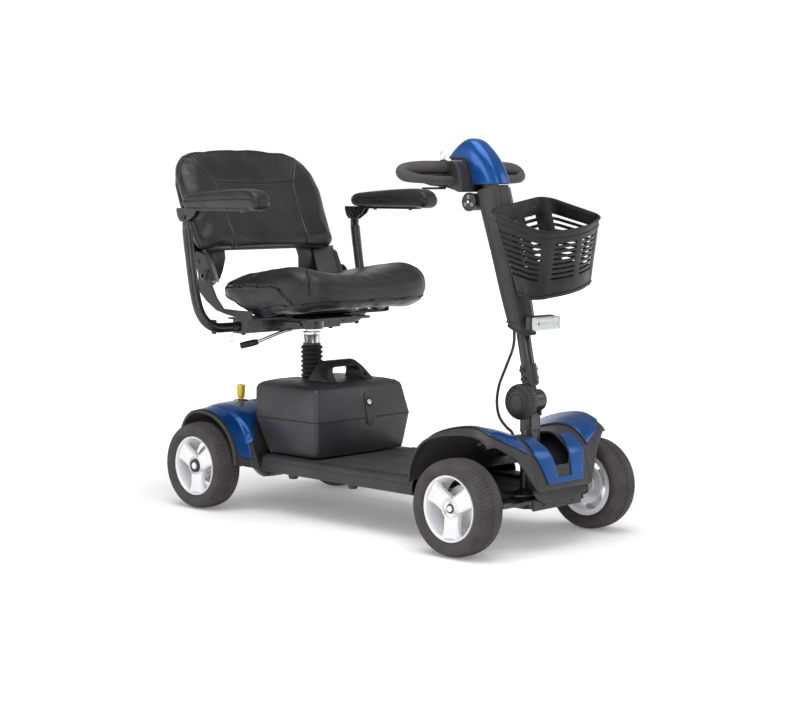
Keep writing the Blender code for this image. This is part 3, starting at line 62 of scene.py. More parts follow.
RECORD = frame["record"]
BODY_OF = {node: body for body, nodes in RECORD["behaviour"]["bodies"].items() for node in nodes}
SLOT_OF = {part["node"]: part["material_slot"] for part in RECORD["subparts"]}
HALF_BASE, WHEEL_Y, TYRE_RADIUS, RIM_RADIUS = 0.4358, 0.234, 0.108, 0.0745
TILT_HINGE = Vector((0.452 + DX, 0.0, 0.325))
TUBE_RAKE = math.radians(11.8)
BACK_PIVOT = Vector((-0.4204 + DX, 0.0, 0.5834))
BACK_RAKE = math.radians(22.1)
ARM_PIVOT = Vector((-0.424 + DX, 0.287, 0.729))
POST_X = -0.284 + DX


def at(x, y, z):
    """A point given from midway between the axles."""
    return Vector((x + DX, y, z))


# ---------------------------------------------------------------- materials
def set_range(node, low, high, low_value, high_value):
    for socket, value in (("From Min", low), ("From Max", high), ("To Min", low_value),
            ("To Max", high_value)):
        node.inputs[socket].default_value = value


class Look:
    """A Principled material and its node tree, with the details that are laid over it."""

    def __init__(self, name, colour, roughness, metallic, coat, specular):
        self.made = bpy.data.materials.new("look_" + name)
        self.made.use_nodes = True
        self.nodes, self.links = self.made.node_tree.nodes, self.made.node_tree.links
        self.shader = self.nodes["Principled BSDF"]
        for socket, value in (("Base Color", (*colour, 1)), ("Roughness", roughness),
                ("Metallic", metallic), ("Coat Weight", coat), ("Coat Roughness", 0.04),
                ("Specular IOR Level", specular)):
            self.shader.inputs[socket].default_value = value
        self.colour, self.roughness = colour, roughness
        self.place = self.nodes.new("ShaderNodeTexCoord").outputs["Object"]
        self.height = None

    def pattern(self, scale, detail=3.0, kind="noise"):
        if kind == "cells":
            made = self.nodes.new("ShaderNodeTexVoronoi")
            made.feature = "DISTANCE_TO_EDGE"
            made.inputs["Scale"].default_value = scale
            self.links.new(self.place, made.inputs["Vector"])
            return made.outputs["Distance"]
        made = self.nodes.new("ShaderNodeTexNoise")
        made.inputs["Scale"].default_value = scale
        made.inputs["Detail"].default_value = detail
        self.links.new(self.place, made.inputs["Vector"])
        return made.outputs["Fac"]

    def ramp(self, source, low, high, low_value, high_value):
        made = self.nodes.new("ShaderNodeMapRange")
        set_range(made, low, high, low_value, high_value)
        self.links.new(source, made.inputs["Value"])
        return made.outputs["Result"]

    def tint(self, scale, amount):
        """Cloudy variation between a darker and a lighter shade of the colour."""
        mix = self.nodes.new("ShaderNodeMix")
        mix.data_type = "RGBA"
        light = tuple(min(1.0, value * (1 + amount) + 0.02 * amount) for value in self.colour)
        mix.inputs[6].default_value = (*(value * (1 - 0.4 * amount) for value in self.colour), 1)
        mix.inputs[7].default_value = (*light, 1)
        self.links.new(self.ramp(self.pattern(scale), 0.35, 0.65, 0, 1), mix.inputs[0])
        self.links.new(mix.outputs[2], self.shader.inputs["Base Color"])
        return self

    def scuff(self, scale, amount):
        """Patches that are a little more or less rough."""
        low, high = self.roughness - amount, self.roughness + amount
        source = self.ramp(self.pattern(scale, 5), 0.35, 0.65, max(0.02, low), min(1.0, high))
        self.links.new(source, self.shader.inputs["Roughness"])
        return self

    def grain(self, scale, strength, distance=0.0002, kind="noise"):
        """Surface relief; several layers are chained."""
        bump = self.nodes.new("ShaderNodeBump")
        bump.inputs["Strength"].default_value = strength
        bump.inputs["Distance"].default_value = distance
        source = self.pattern(scale, 4, kind)
        if kind == "cells":
            source = self.ramp(source, 0.0, 0.12, 0.0, 1.0)
        self.links.new(source, bump.inputs["Height"])
        if self.height:
            self.links.new(self.height, bump.inputs["Normal"])
        self.height = bump.outputs["Normal"]
        self.links.new(self.height, self.shader.inputs["Normal"])
        return self


LOOKS = {}
for name, colour, surface, tint, scuff, grains in (
    # name, colour, then roughness, metallic, coat and specular, then tint, scuff and layers of grain
    ("grey_plastic", (0.026, 0.0245, 0.026), (0.5, 0.0, 0.0, 0.42), (9, 0.22), (30, 0.06),
     [(1500, 0.2, 0.0001)]),
    ("case_plastic", (0.023, 0.022, 0.0245), (0.4, 0.0, 0.0, 0.45), (7, 0.25), (26, 0.06),
     [(1300, 0.22, 0.0001)]),
    ("black_plastic", (0.012, 0.0115, 0.012), (0.38, 0.0, 0.0, 0.5), (14, 0.3), (40, 0.08),
     [(1400, 0.18, 0.0001)]),
    ("basket_plastic", (0.0075, 0.007, 0.0072), (0.4, 0.0, 0.0, 0.24), (12, 0.3), (35, 0.06),
     [(1100, 0.15, 0.0001)]),
    ("grip_foam", (0.045, 0.042, 0.042), (0.72, 0.0, 0.0, 0.5), (20, 0.2), (50, 0.05),
     [(1900, 0.45, 0.0002)]),
    ("blue_gloss", (0.0012, 0.058, 0.235), (0.26, 0.45, 0.2, 0.3), (8, 0.25), None, [(2600, 0.05, 0.00005)]),
    ("black_steel", (0.008, 0.0075, 0.008), (0.3, 0.0, 0.25, 0.5), (18, 0.35), (60, 0.08),
     [(1700, 0.12, 0.0001)]),
    ("silver_alloy", (0.8, 0.8, 0.82), (0.34, 0.3, 0.3, 0.5), (11, 0.06), (45, 0.05),
     [(1600, 0.05, 0.00005)]),
    ("chrome", (0.72, 0.71, 0.68), (0.16, 1.0, 0.0, 0.5), (16, 0.06), (70, 0.05), [(900, 0.03, 0.00005)]),
    ("tyre_rubber", (0.05, 0.046, 0.046), (0.8, 0.0, 0.0, 0.35), (22, 0.25), (40, 0.07),
     [(1500, 0.35, 0.00015)]),
    ("black_rubber", (0.01, 0.01, 0.01), (0.55, 0.0, 0.0, 0.5), (25, 0.3), (45, 0.08),
     [(1600, 0.3, 0.0001)]),
    ("deck_rubber", (0.03, 0.029, 0.03), (0.62, 0.0, 0.0, 0.5), (15, 0.25), (35, 0.07),
     [(1400, 0.35, 0.00015)]),
    ("vinyl", (0.0085, 0.008, 0.009), (0.36, 0.0, 0.0, 0.4), (10, 0.25), (24, 0.07),
     [(420, 0.1, 0.0003), (900, 0.3, 0.0002, "cells")]),
    ("yellow_plastic", (0.83, 0.55, 0.02), (0.35, 0.0, 0.0, 0.5), (30, 0.08), None, [(1200, 0.1, 0.0001)]),
    ("clear_lens", (0.93, 0.95, 0.95), (0.04, 0.0, 0.4, 0.5), None, None, [(260, 0.06, 0.0002)]),
    ("brass", (0.55, 0.44, 0.2), (0.3, 1.0, 0.0, 0.5), (40, 0.2), (60, 0.08), []),
    ("cream_plastic", (0.52, 0.53, 0.42), (0.45, 0.0, 0.0, 0.5), (30, 0.15), None, [(1200, 0.1, 0.0001)]),
    ("thread", (0.02, 0.02, 0.021), (0.65, 0.0, 0.0, 0.5), (60, 0.3), None, [(2400, 0.3, 0.0001)]),
    ("mirror", (0.88, 0.88, 0.86), (0.1, 1.0, 0.0, 0.5), None, None, [(300, 0.25, 0.0003)]),
):
    look = LOOKS[name] = Look(name, colour, *surface)
    if tint:
        look.tint(*tint)
    if scuff:
        look.scuff(*scuff)
    for grain in grains:
        look.grain(*grain)
# Painted reflection: the lens's near-white base colour with transmission of only 0.6 makes 40% of it a
# diffuse white that brightens it, standing in for the light that a clear lens shows from the reflector
# behind it.
LOOKS["clear_lens"].shader.inputs["Transmission Weight"].default_value = 0.6
LOOKS["clear_lens"].shader.inputs["IOR"].default_value = 1.45


# ---------------------------------------------------------------- mesh helpers
def new_object(name, mesh, smooth=None):
    obj = bpy.data.objects.new(name, mesh)
    bpy.context.scene.collection.objects.link(obj)
    if smooth is not None:
        mesh.shade_smooth()
        mesh.set_sharp_from_angle(angle=math.radians(smooth))
    return obj


def from_bmesh(name, bm, smooth=40):
    bmesh.ops.remove_doubles(bm, verts=bm.verts, dist=1e-6)
    bmesh.ops.recalc_face_normals(bm, faces=bm.faces)
    mesh = bpy.data.meshes.new(name)
    bm.to_mesh(mesh)
    bm.free()
    return new_object(name, mesh, smooth)


DONE = set()        # the CAD nodes that a finer piece stands for


def settle(obj, look, node=None, body=None, hides=True):
    """Gives a piece its material and its body, and hides the CAD node that it stands for."""
    obj.data.materials.clear()
    obj.data.materials.append(LOOKS[look].made)
    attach(obj, body or BODY_OF[node])
    if node and hides:
        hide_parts(node)
        DONE.add(node)
    return obj


def blended(obj, node):
    """A rubber piece that stretches or bends between two bodies."""
    obj.data.materials.append(LOOKS["black_rubber"].made)
    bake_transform(obj)
    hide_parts(node)
    DONE.add(node)


def lofted(bm, rows, closed=True):
    """Faces through rows of points; it gives back the rows of vertices."""
    grid = [[bm.verts.new(point) for point in row] for row in rows]
    count = len(rows[0])
    for first, second in zip(grid, grid[1:]):
        for index in range(count if closed else count - 1):
            after = (index + 1) % count
            bm.faces.new((first[index], first[after], second[after], second[index]))
    return grid


def skin(name, rows, closed=True, cap=True, smooth=40):
    """A loft through rows of points."""
    bm = bmesh.new()
    grid = lofted(bm, rows, closed)
    if cap:
        bm.faces.new(grid[0])
        bm.faces.new(grid[-1])
    return from_bmesh(name, bm, smooth)


def turned(name, profile, centre, axis="Z", sides=72, smooth=40, closed=True):
    """A (radius, height) profile turned about an axis through centre."""
    bm = bmesh.new()
    corners = [bm.verts.new((radius, 0, height)) for radius, height in profile]
    edges = [bm.edges.new(pair) for pair in zip(corners, corners[1:])]
    if closed:
        edges.append(bm.edges.new((corners[-1], corners[0])))
    bmesh.ops.spin(bm, geom=corners + edges, cent=(0, 0, 0), axis=(0, 0, 1), angle=2 * math.pi, steps=sides,
        use_merge=True)
    turn = {"Z": Matrix.Identity(4), "Y": Matrix.Rotation(-math.pi / 2, 4, "X"),
        "X": Matrix.Rotation(math.pi / 2, 4, "Y")}[axis]
    bmesh.ops.transform(bm, matrix=Matrix.Translation(centre) @ turn, verts=bm.verts)
    return from_bmesh(name, bm, smooth)


def rod(name, start, end, radius, end_radius=None, sides=32):
    start, end = Vector(start), Vector(end)
    bm = bmesh.new()
    bmesh.ops.create_cone(bm, cap_ends=True, segments=sides, radius1=radius,
        radius2=radius if end_radius is None else end_radius, depth=(end - start).length)
    turn = (end - start).to_track_quat("Z", "Y").to_matrix().to_4x4()
    bmesh.ops.transform(bm, matrix=Matrix.Translation((start + end) / 2) @ turn, verts=bm.verts)
    return from_bmesh(name, bm)


def block(name, low, high, smooth=40):
    low, high = Vector(low), Vector(high)
    bm = bmesh.new()
    bmesh.ops.create_cube(bm, size=1)
    bmesh.ops.scale(bm, verts=bm.verts, vec=high - low)
    bmesh.ops.translate(bm, verts=bm.verts, vec=(low + high) / 2)
    return from_bmesh(name, bm, smooth)


def slab(name, outline, low, high, plane="XZ", smooth=40):
    """A flat outline extruded between two levels of the axis that its plane leaves out."""
    spots = {"XZ": lambda a, b, level: (a, level, b), "XY": lambda a, b, level: (a, b, level),
        "YZ": lambda a, b, level: (level, a, b)}[plane]
    return skin(name, [[spots(a, b, level) for a, b in outline] for level in (low, high)], smooth=smooth)


def spline(points, steps):
    """A Catmull-Rom curve through points."""
    points = [Vector(point) for point in points]
    ends = [2 * points[0] - points[1]] + points + [2 * points[-1] - points[-2]]
    route = []
    for a, b, c, d in zip(ends, ends[1:], ends[2:], ends[3:]):
        for step in range(steps):
            t = step / steps
            route.append(0.5 * (
                (2 * b) + (c - a) * t + (2 * a - 5 * b + 4 * c - d) * t * t
                + (3 * b - a - 3 * c + d) * t ** 3
            ))
    return route + [points[-1]]


def tube(name, points, radius, steps=8, sides=20, radii=None, closed=False):
    """A round bar along a smooth curve, with its ends closed."""
    route = spline(points, steps) if steps > 1 else [Vector(point) for point in points]
    rows = []
    side = Vector((0, 0, 1)).cross(route[1] - route[0])
    side = side.normalized() if side.length > 1e-6 else Vector((0, 1, 0))
    for index, spot in enumerate(route):
        before, after = route[max(0, index - 1)], route[min(len(route) - 1, index + 1)]
        if closed:
            before, after = route[(index - 1) % len(route)], route[(index + 1) % len(route)]
        along = (after - before).normalized()
        side = (side - along * side.dot(along)).normalized()
        other = along.cross(side)
        share = index / (len(route) - 1)
        width = radius
        if radii:
            place = share * (len(radii) - 1)
            low = min(int(place), len(radii) - 2)
            width = radius * (radii[low] + (radii[low + 1] - radii[low]) * (place - low))
        rows.append(circle(spot, side, other, width, sides))
    if closed:
        rows.append(rows[0])
    return skin(name, rows, cap=not closed, smooth=50)


def circle(centre, across, up, radius, count):
    """Points round a centre, in the plane of two directions."""
    return [centre + (Vector(across) * math.cos(angle) + Vector(up) * math.sin(angle)) * radius
        for angle in (2 * math.pi * step / count for step in range(count))]


def bead(name, route, radius, look, body, sides=8, closed=False):
    """A thin round line that lies on a surface."""
    return settle(tube(name, route, radius, 1, sides, closed=closed), look, body=body)


def bevel(obj, width, segments=2, angle=30):
    made = obj.modifiers.new("edges", "BEVEL")
    made.width, made.segments = width, segments
    made.limit_method, made.angle_limit = "ANGLE", math.radians(angle)
    made.use_clamp_overlap = True
    return obj


def subdivide(obj, levels=1):
    made = obj.modifiers.new("fine", "SUBSURF")
    made.levels = made.render_levels = levels
    return obj


def thicken(obj, thickness, offset=-1.0):
    made = obj.modifiers.new("wall", "SOLIDIFY")
    made.thickness, made.offset, made.use_even_offset = thickness, offset, True
    return obj


def boolean(obj, other):
    """Cuts the other shape out of this one."""
    made = obj.modifiers.new("difference", "BOOLEAN")
    made.operation, made.object, made.solver = "DIFFERENCE", other, "EXACT"
    apply_modifiers(obj)
    bpy.data.objects.remove(other, do_unlink=True)
    return obj


def apply_modifiers(obj):
    bpy.context.view_layer.update()
    evaluated = obj.evaluated_get(bpy.context.evaluated_depsgraph_get())
    mesh = bpy.data.meshes.new_from_object(evaluated)
    obj.modifiers.clear()
    old, obj.data = obj.data, mesh
    mesh.name = old.name
    bpy.data.meshes.remove(old)
    return obj


def joined(name, objs, smooth=40):
    """Several meshes as one object, without their parents or modifiers."""
    bm = bmesh.new()
    for obj in objs:
        if obj.modifiers:
            apply_modifiers(obj)
        part = obj.data.copy()
        part.transform(obj.matrix_world)
        bm.from_mesh(part)
        bpy.data.meshes.remove(part)
        bpy.data.objects.remove(obj, do_unlink=True)
    mesh = bpy.data.meshes.new(name)
    bm.to_mesh(mesh)
    bm.free()
    return new_object(name, mesh, smooth)


def node_copy(node):
    """A CAD node's mesh as a new object: welded, and its flat faces made whole again."""
    bm = bmesh.new()
    bm.from_mesh(frame["nodes"][node].data)
    bmesh.ops.remove_doubles(bm, verts=bm.verts, dist=2e-5)
    bmesh.ops.dissolve_limit(bm, angle_limit=math.radians(2.0), verts=bm.verts, edges=bm.edges)
    return from_bmesh(node + "_fine", bm, 35)


def refine(node, look, width, segments=2):
    """A CAD node with rounded edges and smooth round surfaces."""
    return settle(bevel(node_copy(node), width, segments, 32), look, node)


def bolt(name, spot, direction, radius, height, body, look="black_steel"):
    """A domed bolt head with a hexagon recess."""
    direction = Vector(direction).normalized()
    profile = [(0, -0.001), (radius, -0.001), (radius, height * 0.55), (radius * 0.86, height * 0.9),
        (radius * 0.62, height), (radius * 0.42, height), (radius * 0.36, height * 0.35),
        (0, height * 0.35)]
    head = turned(name, profile, (0, 0, 0), "Z", 24, closed=False)
    head.data.transform(Matrix.Translation(Vector(spot)) @ direction.to_track_quat("Z",
        "Y").to_matrix().to_4x4())
    return settle(head, look, body=body)


# ---------------------------------------------------------------- wheels
def tyre_mesh():
    """One tyre round the Y axis: fine lateral ribs each side of a centre line, and a smooth wall."""
    ribs, per = 76, 4
    half = 0.039
    profile = [(RIM_RADIUS + 0.0006, 0.0285, 0), (RIM_RADIUS + 0.004, 0.0325, 0), (0.083, 0.0366, 0),
        (0.088, 0.0385, 0), (0.093, 0.0388, 0), (0.0978, 0.0372, 0), (0.1012, 0.0345, 0.3), (0.1034, 0.0318,
        1), (0.1048, 0.029, 1), (0.106, 0.025, 1), (0.1069, 0.02, 1), (0.1075, 0.014, 1), (0.1079, 0.008,
        1), (0.108, 0.0026, 1), (0.108, 0.002, 0), (0.1066, 0.001, 0)]
    profile = profile + [(r, -y, rib) for r, y, rib in reversed(profile)]
    rows = []
    for step in range(ribs * per):
        angle = 2 * math.pi * step / (ribs * per)
        low = step % per in (0, 1)
        row = []
        for r, y, rib in profile:
            reach = r - (0.0022 * rib if low else 0.0)
            slant = angle + 0.1 * abs(y) / half * rib
            row.append((reach * math.sin(slant), y, reach * math.cos(slant)))
        rows.append(row)
    bm = bmesh.new()
    grid = [[bm.verts.new(point) for point in row] for row in rows]
    for index, first in enumerate(grid):
        second = grid[(index + 1) % len(grid)]
        for place in range(len(profile)):
            after = (place + 1) % len(profile)
            bm.faces.new((first[place], first[after], second[after], second[place]))
    bmesh.ops.recalc_face_normals(bm, faces=bm.faces)
    mesh = bpy.data.meshes.new("tyre")
    bm.to_mesh(mesh)
    bm.free()
    mesh.shade_smooth()
    mesh.set_sharp_from_angle(angle=math.radians(48))
    return mesh


def spoke_rows(side):
    """Sections of one spoke, from the hub out to the barrel, which flare and curve backwards."""
    rows = []
    for reach, half, front, depth in ((0.01, 0.02, 0.0225, 0.018), (0.022, 0.0204, 0.024, 0.016),
            (0.032, 0.0206, 0.0246, 0.014), (0.044, 0.0212, 0.0246, 0.013), (0.054, 0.0228, 0.0246, 0.013),
            (0.0615, 0.0262, 0.025, 0.014), (0.0665, 0.0318, 0.0258, 0.016)):
        row = []
        for across, inset in ((-1, 0.004), (-0.78, 0.0), (-0.4, -0.0006), (0, -0.0008), (0.4, -0.0006),
                (0.78, 0.0), (1, 0.004), (1.06, depth), (-1.06, depth)):
            row.append((across * half, side * (front - inset), -reach))
        rows.append(row)
    return rows


def rim_pieces(side):
    """A barrel with a rolled lip, three broad spokes and the hub with its cap."""
    lip = RIM_RADIUS
    barrel = [(lip, 0.0288), (lip - 0.0012, 0.0302), (lip - 0.0034, 0.0304), (lip - 0.0052, 0.029),
        (lip - 0.0064, 0.0262), (lip - 0.0078, 0.02), (lip - 0.01, 0.01), (lip - 0.0128, -0.004),
        (lip - 0.0142, -0.02), (lip - 0.012, -0.0285), (lip, -0.0288)]
    barrel = [(radius, side * height) for radius, height in barrel]
    pieces = [turned("barrel", barrel, (0, 0, 0), "Y", 96)]
    disc = [(0.0, -0.008), (0.024, -0.01), (0.044, -0.017), (0.0475, -0.02), (0.0465, -0.024), (0.0, -0.02)]
    pieces.append(turned("disc", [(r, side * y) for r, y in disc], (0, 0, 0), "Y", 72, closed=False))
    for spoke in range(3):
        bar = skin("spoke", spoke_rows(side))
        bar.data.transform(Matrix.Rotation(2 * math.pi * spoke / 3, 4, "Y"))
        subdivide(bevel(bar, 0.0016, 3), 1)
        pieces.append(bar)
    hub = [(0.0, -0.024), (0.0225, -0.024), (0.0225, 0.018), (0.0238, 0.024), (0.023, 0.0266),
        (0.0218, 0.0272), (0.0206, 0.0262), (0.0198, 0.0215), (0.0, 0.021)]
    pieces.append(turned("hub", [(r, side * y) for r, y in hub], (0, 0, 0), "Y", 64, closed=False))
    return pieces


def hub_detail(end, label, side, middle):
    """The rear hubs have a black cap with a bright nut; the front ones a pale recess with a bolt."""
    body = f"{end}_wheel_{label}"

    def on_hub(name, profile, look):
        piece = turned(name, [(r, side * y) for r, y in profile], (0, 0, 0), "Y", 48, closed=False)
        piece.location = middle
        settle(piece, look, body=body)

    if end == "rear":
        on_hub(f"hub_cap_{label}", [(0.0, 0.0215), (0.0168, 0.0215), (0.0172, 0.0262), (0.0156, 0.029),
            (0.0112, 0.0296), (0.0106, 0.0276), (0.0, 0.0272)], "black_plastic")
        on_hub(f"hub_nut_{label}", [(0.0, 0.0268), (0.0086, 0.0268), (0.0086, 0.029), (0.0074, 0.0303),
            (0.0052, 0.0303), (0.0046, 0.0286), (0.0, 0.0284)], "silver_alloy")
    else:
        on_hub(f"hub_recess_{label}", [(0.0, 0.0214), (0.0196, 0.0214), (0.0194, 0.024), (0.0182, 0.0244),
            (0.0172, 0.0222), (0.0, 0.0222)], "cream_plastic")
        on_hub(f"hub_washer_{label}", [(0.0, 0.022), (0.0104, 0.022), (0.0104, 0.0236), (0.0, 0.0236)],
            "black_steel")
        nut = turned(f"hub_bolt_{label}", [(0, side * 0.0232), (0.0074, side * 0.0232),
            (0.0074, side * 0.0262), (0.0058, side * 0.0278), (0, side * 0.0278)], (0, 0, 0), "Y", 6, 20,
            closed=False)
        nut.location = middle
        settle(bevel(nut, 0.0005), "silver_alloy", body=body)


def build_wheels():
    tyre = tyre_mesh()
    for end, x in (("front", HALF_BASE + DX), ("rear", -HALF_BASE + DX)):
        for label, side in SIDES:
            middle = Vector((x, side * WHEEL_Y, TYRE_RADIUS))
            node = f"{end}_tyre_{label}"
            piece = new_object(node + "_fine", tyre)
            piece.location = middle
            settle(piece, "tyre_rubber", node)
            node = f"{end}_rim_{label}"
            rim = joined(node + "_fine", rim_pieces(side), 42)
            rim.location = middle
            settle(rim, "silver_alloy", node)
            hub_detail(end, label, side, middle)
            stem = rod(f"valve_{end}_{label}", (0.056, side * 0.006, 0.03), (0.05, side * 0.019, 0.0268),
                0.0022, 0.0018, 12)
            stem.location = middle
            settle(stem, "black_rubber", body=BODY_OF[node])


build_wheels()


# ---------------------------------------------------------------- seat
def back_frame(y, along, forward):
    """A point given in the backrest's plane: across, up the plane from the hinge line, and forward."""
    up = Vector((-math.sin(BACK_RAKE), 0, math.cos(BACK_RAKE)))
    out = Vector((math.cos(BACK_RAKE), 0, math.sin(BACK_RAKE)))
    return BACK_PIVOT + Vector((0, y, 0)) + up * along + out * forward


def clear_faces(mesh):
    """Points and polygons of a mesh as a search tree."""
    return BVHTree.FromPolygons([vert.co.copy() for vert in mesh.vertices],
        [tuple(face.vertices) for face in mesh.polygons])


def puffed(pad, voxel, shrink, cap, pressure=4.0, grow=0.0):
    """A pad blown up by the Cloth simulation from a slightly smaller copy of its shape."""
    remesh = pad.modifiers.new("even", "REMESH")
    remesh.mode, remesh.voxel_size = "VOXEL", voxel
    apply_modifiers(pad)
    smooth = pad.modifiers.new("soften", "SMOOTH")
    smooth.factor, smooth.iterations = 0.5, 5
    apply_modifiers(pad)
    mesh = pad.data
    normals = [vert.normal.copy() for vert in mesh.vertices]
    for vert, normal in zip(mesh.vertices, normals):
        vert.co += normal * grow
    for vert, normal in zip(mesh.vertices, normals):
        vert.co -= normal * shrink
    start = [vert.co.copy() for vert in mesh.vertices]
    cloth = pad.modifiers.new("cloth", "CLOTH")
    settings = cloth.settings
    settings.use_pressure, settings.uniform_pressure_force = True, pressure
    settings.mass, settings.quality = 0.4, 4
    settings.tension_stiffness = settings.compression_stiffness = 18
    settings.shear_stiffness, settings.bending_stiffness = 8, 4.0
    settings.effector_weights.gravity = 0
    cloth.collision_settings.use_collision = False
    cloth.point_cache.frame_start, cloth.point_cache.frame_end = 1, 20
    scene = bpy.context.scene
    for number in range(1, 21):
        scene.frame_set(number)
        bpy.context.view_layer.update()
    evaluated = pad.evaluated_get(bpy.context.evaluated_depsgraph_get())
    moved = [vert.co.copy() for vert in evaluated.data.vertices]
    pad.modifiers.clear()
    scene.frame_set(1)
    for vert, first, last in zip(mesh.vertices, start, moved):
        step = last - first
        if step.length > cap:
            step *= cap / step.length
        vert.co = first + step
    smooth = pad.modifiers.new("relax", "SMOOTH")
    smooth.factor, smooth.iterations = 0.5, 6
    subdivide(pad, 1)
    apply_modifiers(pad)
    return pad


def press_seam(pad, route, width, depth, ridge=0.0):
    """Presses a sewn line into a pad, with an optional welt each side of it."""
    tree = KDTree(len(route))
    for index, spot in enumerate(route):
        tree.insert(spot, index)
    tree.balance()
    pad.data.update()
    moves = []
    for vert in pad.data.vertices:
        distance = tree.find(vert.co)[2]
        if distance > 4 * width:
            continue
        share = distance / width
        moves.append((
            vert.index,
            -depth * math.exp(-share * share * 1.8) + ridge * math.exp(-(share - 1.7) ** 2 * 2.0),
        ))
    normals = {index: pad.data.vertices[index].normal.copy() for index, _ in moves}
    for index, move in moves:
        pad.data.vertices[index].co += normals[index] * move


def laid_on(pad, points, steps=10, lift=0.0, direction=None):
    """A smooth line of points put onto the nearest places of a pad's surface."""
    tree = clear_faces(pad.data)
    route = []
    for spot in spline(points, steps):
        if direction is not None:
            hit = tree.ray_cast(spot - direction * 0.2, direction)
            place, normal = (hit[0], hit[1]) if hit[0] is not None else tree.find_nearest(spot)[:2]
        else:
            place, normal = tree.find_nearest(spot)[:2]
        route.append(place + normal * lift)
    return route


def dense(route):
    """The same line with its points close together."""
    made = []
    for first, last in zip(route, route[1:]):
        count = max(1, int((last - first).length / 0.0015))
        made += [first.lerp(last, step / count) for step in range(count)]
    return made + [route[-1]]


def stitch(name, route, radius, body, closed=False, look="thread"):
    """A welt cord or a line of thread that lies on a pad."""
    return bead(name, route, radius, look, body, closed=closed)


BACK_SEAM = ((0.1835, 0.35), (0.178, 0.326), (0.158, 0.288), (0.135, 0.25), (0.1285, 0.2),
             (0.125, 0.14), (0.1245, 0.095), (0.126, 0.066))      # across, up the back


def build_back_pad():
    pad = puffed(node_copy("back_pad"), 0.006, 0.001, 0.006, 4.0, 0.0022)
    for vert in pad.data.vertices:
        vert.co.y *= 0.985
    out = -back_frame(0, 0, 1) + back_frame(0, 0, 0)
    seams = {label: [back_frame(side * y, along, 0.01) for y, along in BACK_SEAM] for label, side in SIDES}
    across = [back_frame(y, 0.25, 0.01) for y in (-0.1345, -0.09, -0.04, 0.04, 0.09, 0.1345)]
    for seam in (*seams.values(), across):
        press_seam(pad, dense(laid_on(pad, seam, 14, 0, out)), 0.003, 0.0024, 0.0007)
    settle(pad, "vinyl", "back_pad")
    for label, seam in seams.items():
        stitch(f"back_seam_{label}", laid_on(pad, seam, 14, 0.0001, out), 0.0006, "backrest")
    stitch("back_seam_middle", laid_on(pad, across, 14, 0.0001, out), 0.0006, "backrest")
    hem, tree = [], clear_faces(pad.data)
    for y, along in hem_line():
        place, normal = tree.find_nearest(back_frame(y, along, -0.004))[:2]
        hem.append(place + normal * 0.0004)
    stitch("back_hem", hem, 0.0018, "backrest", True, "vinyl")


def hem_line():
    """The outline of the back in its own plane, where the welt runs."""
    half, shoulder, top, crown = 0.236, 0.275, 0.3585, 0.105
    points = [(0, 0.062), (half * 0.5, 0.062), (half - 0.02, 0.066), (half - 0.004, 0.082), (half, 0.124),
        (half, shoulder - 0.05)]
    for step in range(1, 6):
        angle = math.pi / 2 * step / 5
        points.append((
            half - crown * (1 - math.cos(angle)),
            shoulder - 0.03 + (top - 0.008 - shoulder + 0.03) * math.sin(angle),
        ))
    points += [((half - crown) * 0.5, top - 0.002), (0, top)]
    whole = points + [(-y, along) for y, along in reversed(points[1:-1])]
    return [(spot.x, spot.y) for spot in (Vector(p) for p in spline([(*p, 0) for p in whole + whole[:1]],
        5)[:-1])]


CUSHION_TOP = [(-0.44, 0.566), (-0.392, 0.577), (-0.313, 0.591), (-0.227, 0.603), (-0.144, 0.612),
               (-0.09, 0.607), (-0.045, 0.596)]         # x and height of the side bolsters
CUSHION_SKIRT = [(-0.44, 0.522), (-0.392, 0.52), (-0.352, 0.508), (-0.317, 0.498), (-0.271, 0.4875),
                 (-0.243, 0.4855), (-0.176, 0.497), (-0.094, 0.506), (-0.045, 0.516)]   # lower edge


def line_height(line, x):
    for (first_x, first_z), (next_x, next_z) in zip(line, line[1:]):
        if x <= next_x:
            return first_z + (next_z - first_z) * max(0.0, (x - first_x) / (next_x - first_x))
    return line[-1][1]


def soft_height(line, x):
    """The line's height with its corners rounded."""
    return sum(line_height(line, x + step * 0.011) for step in (-2, -1, 0, 1, 2)) / 5


def cushion_outline(angle):
    """The seat's outline seen from above, a rounded rectangle."""
    x, y = math.cos(angle), math.sin(angle)
    reach = (abs(x) ** 5.0 + abs(y) ** 5.0) ** (-1 / 5.0)
    along, aside = x * reach, y * reach
    return -0.2425 + 0.1985 * along, (0.228 - 0.02 * max(0.0, -along) ** 1.5) * aside


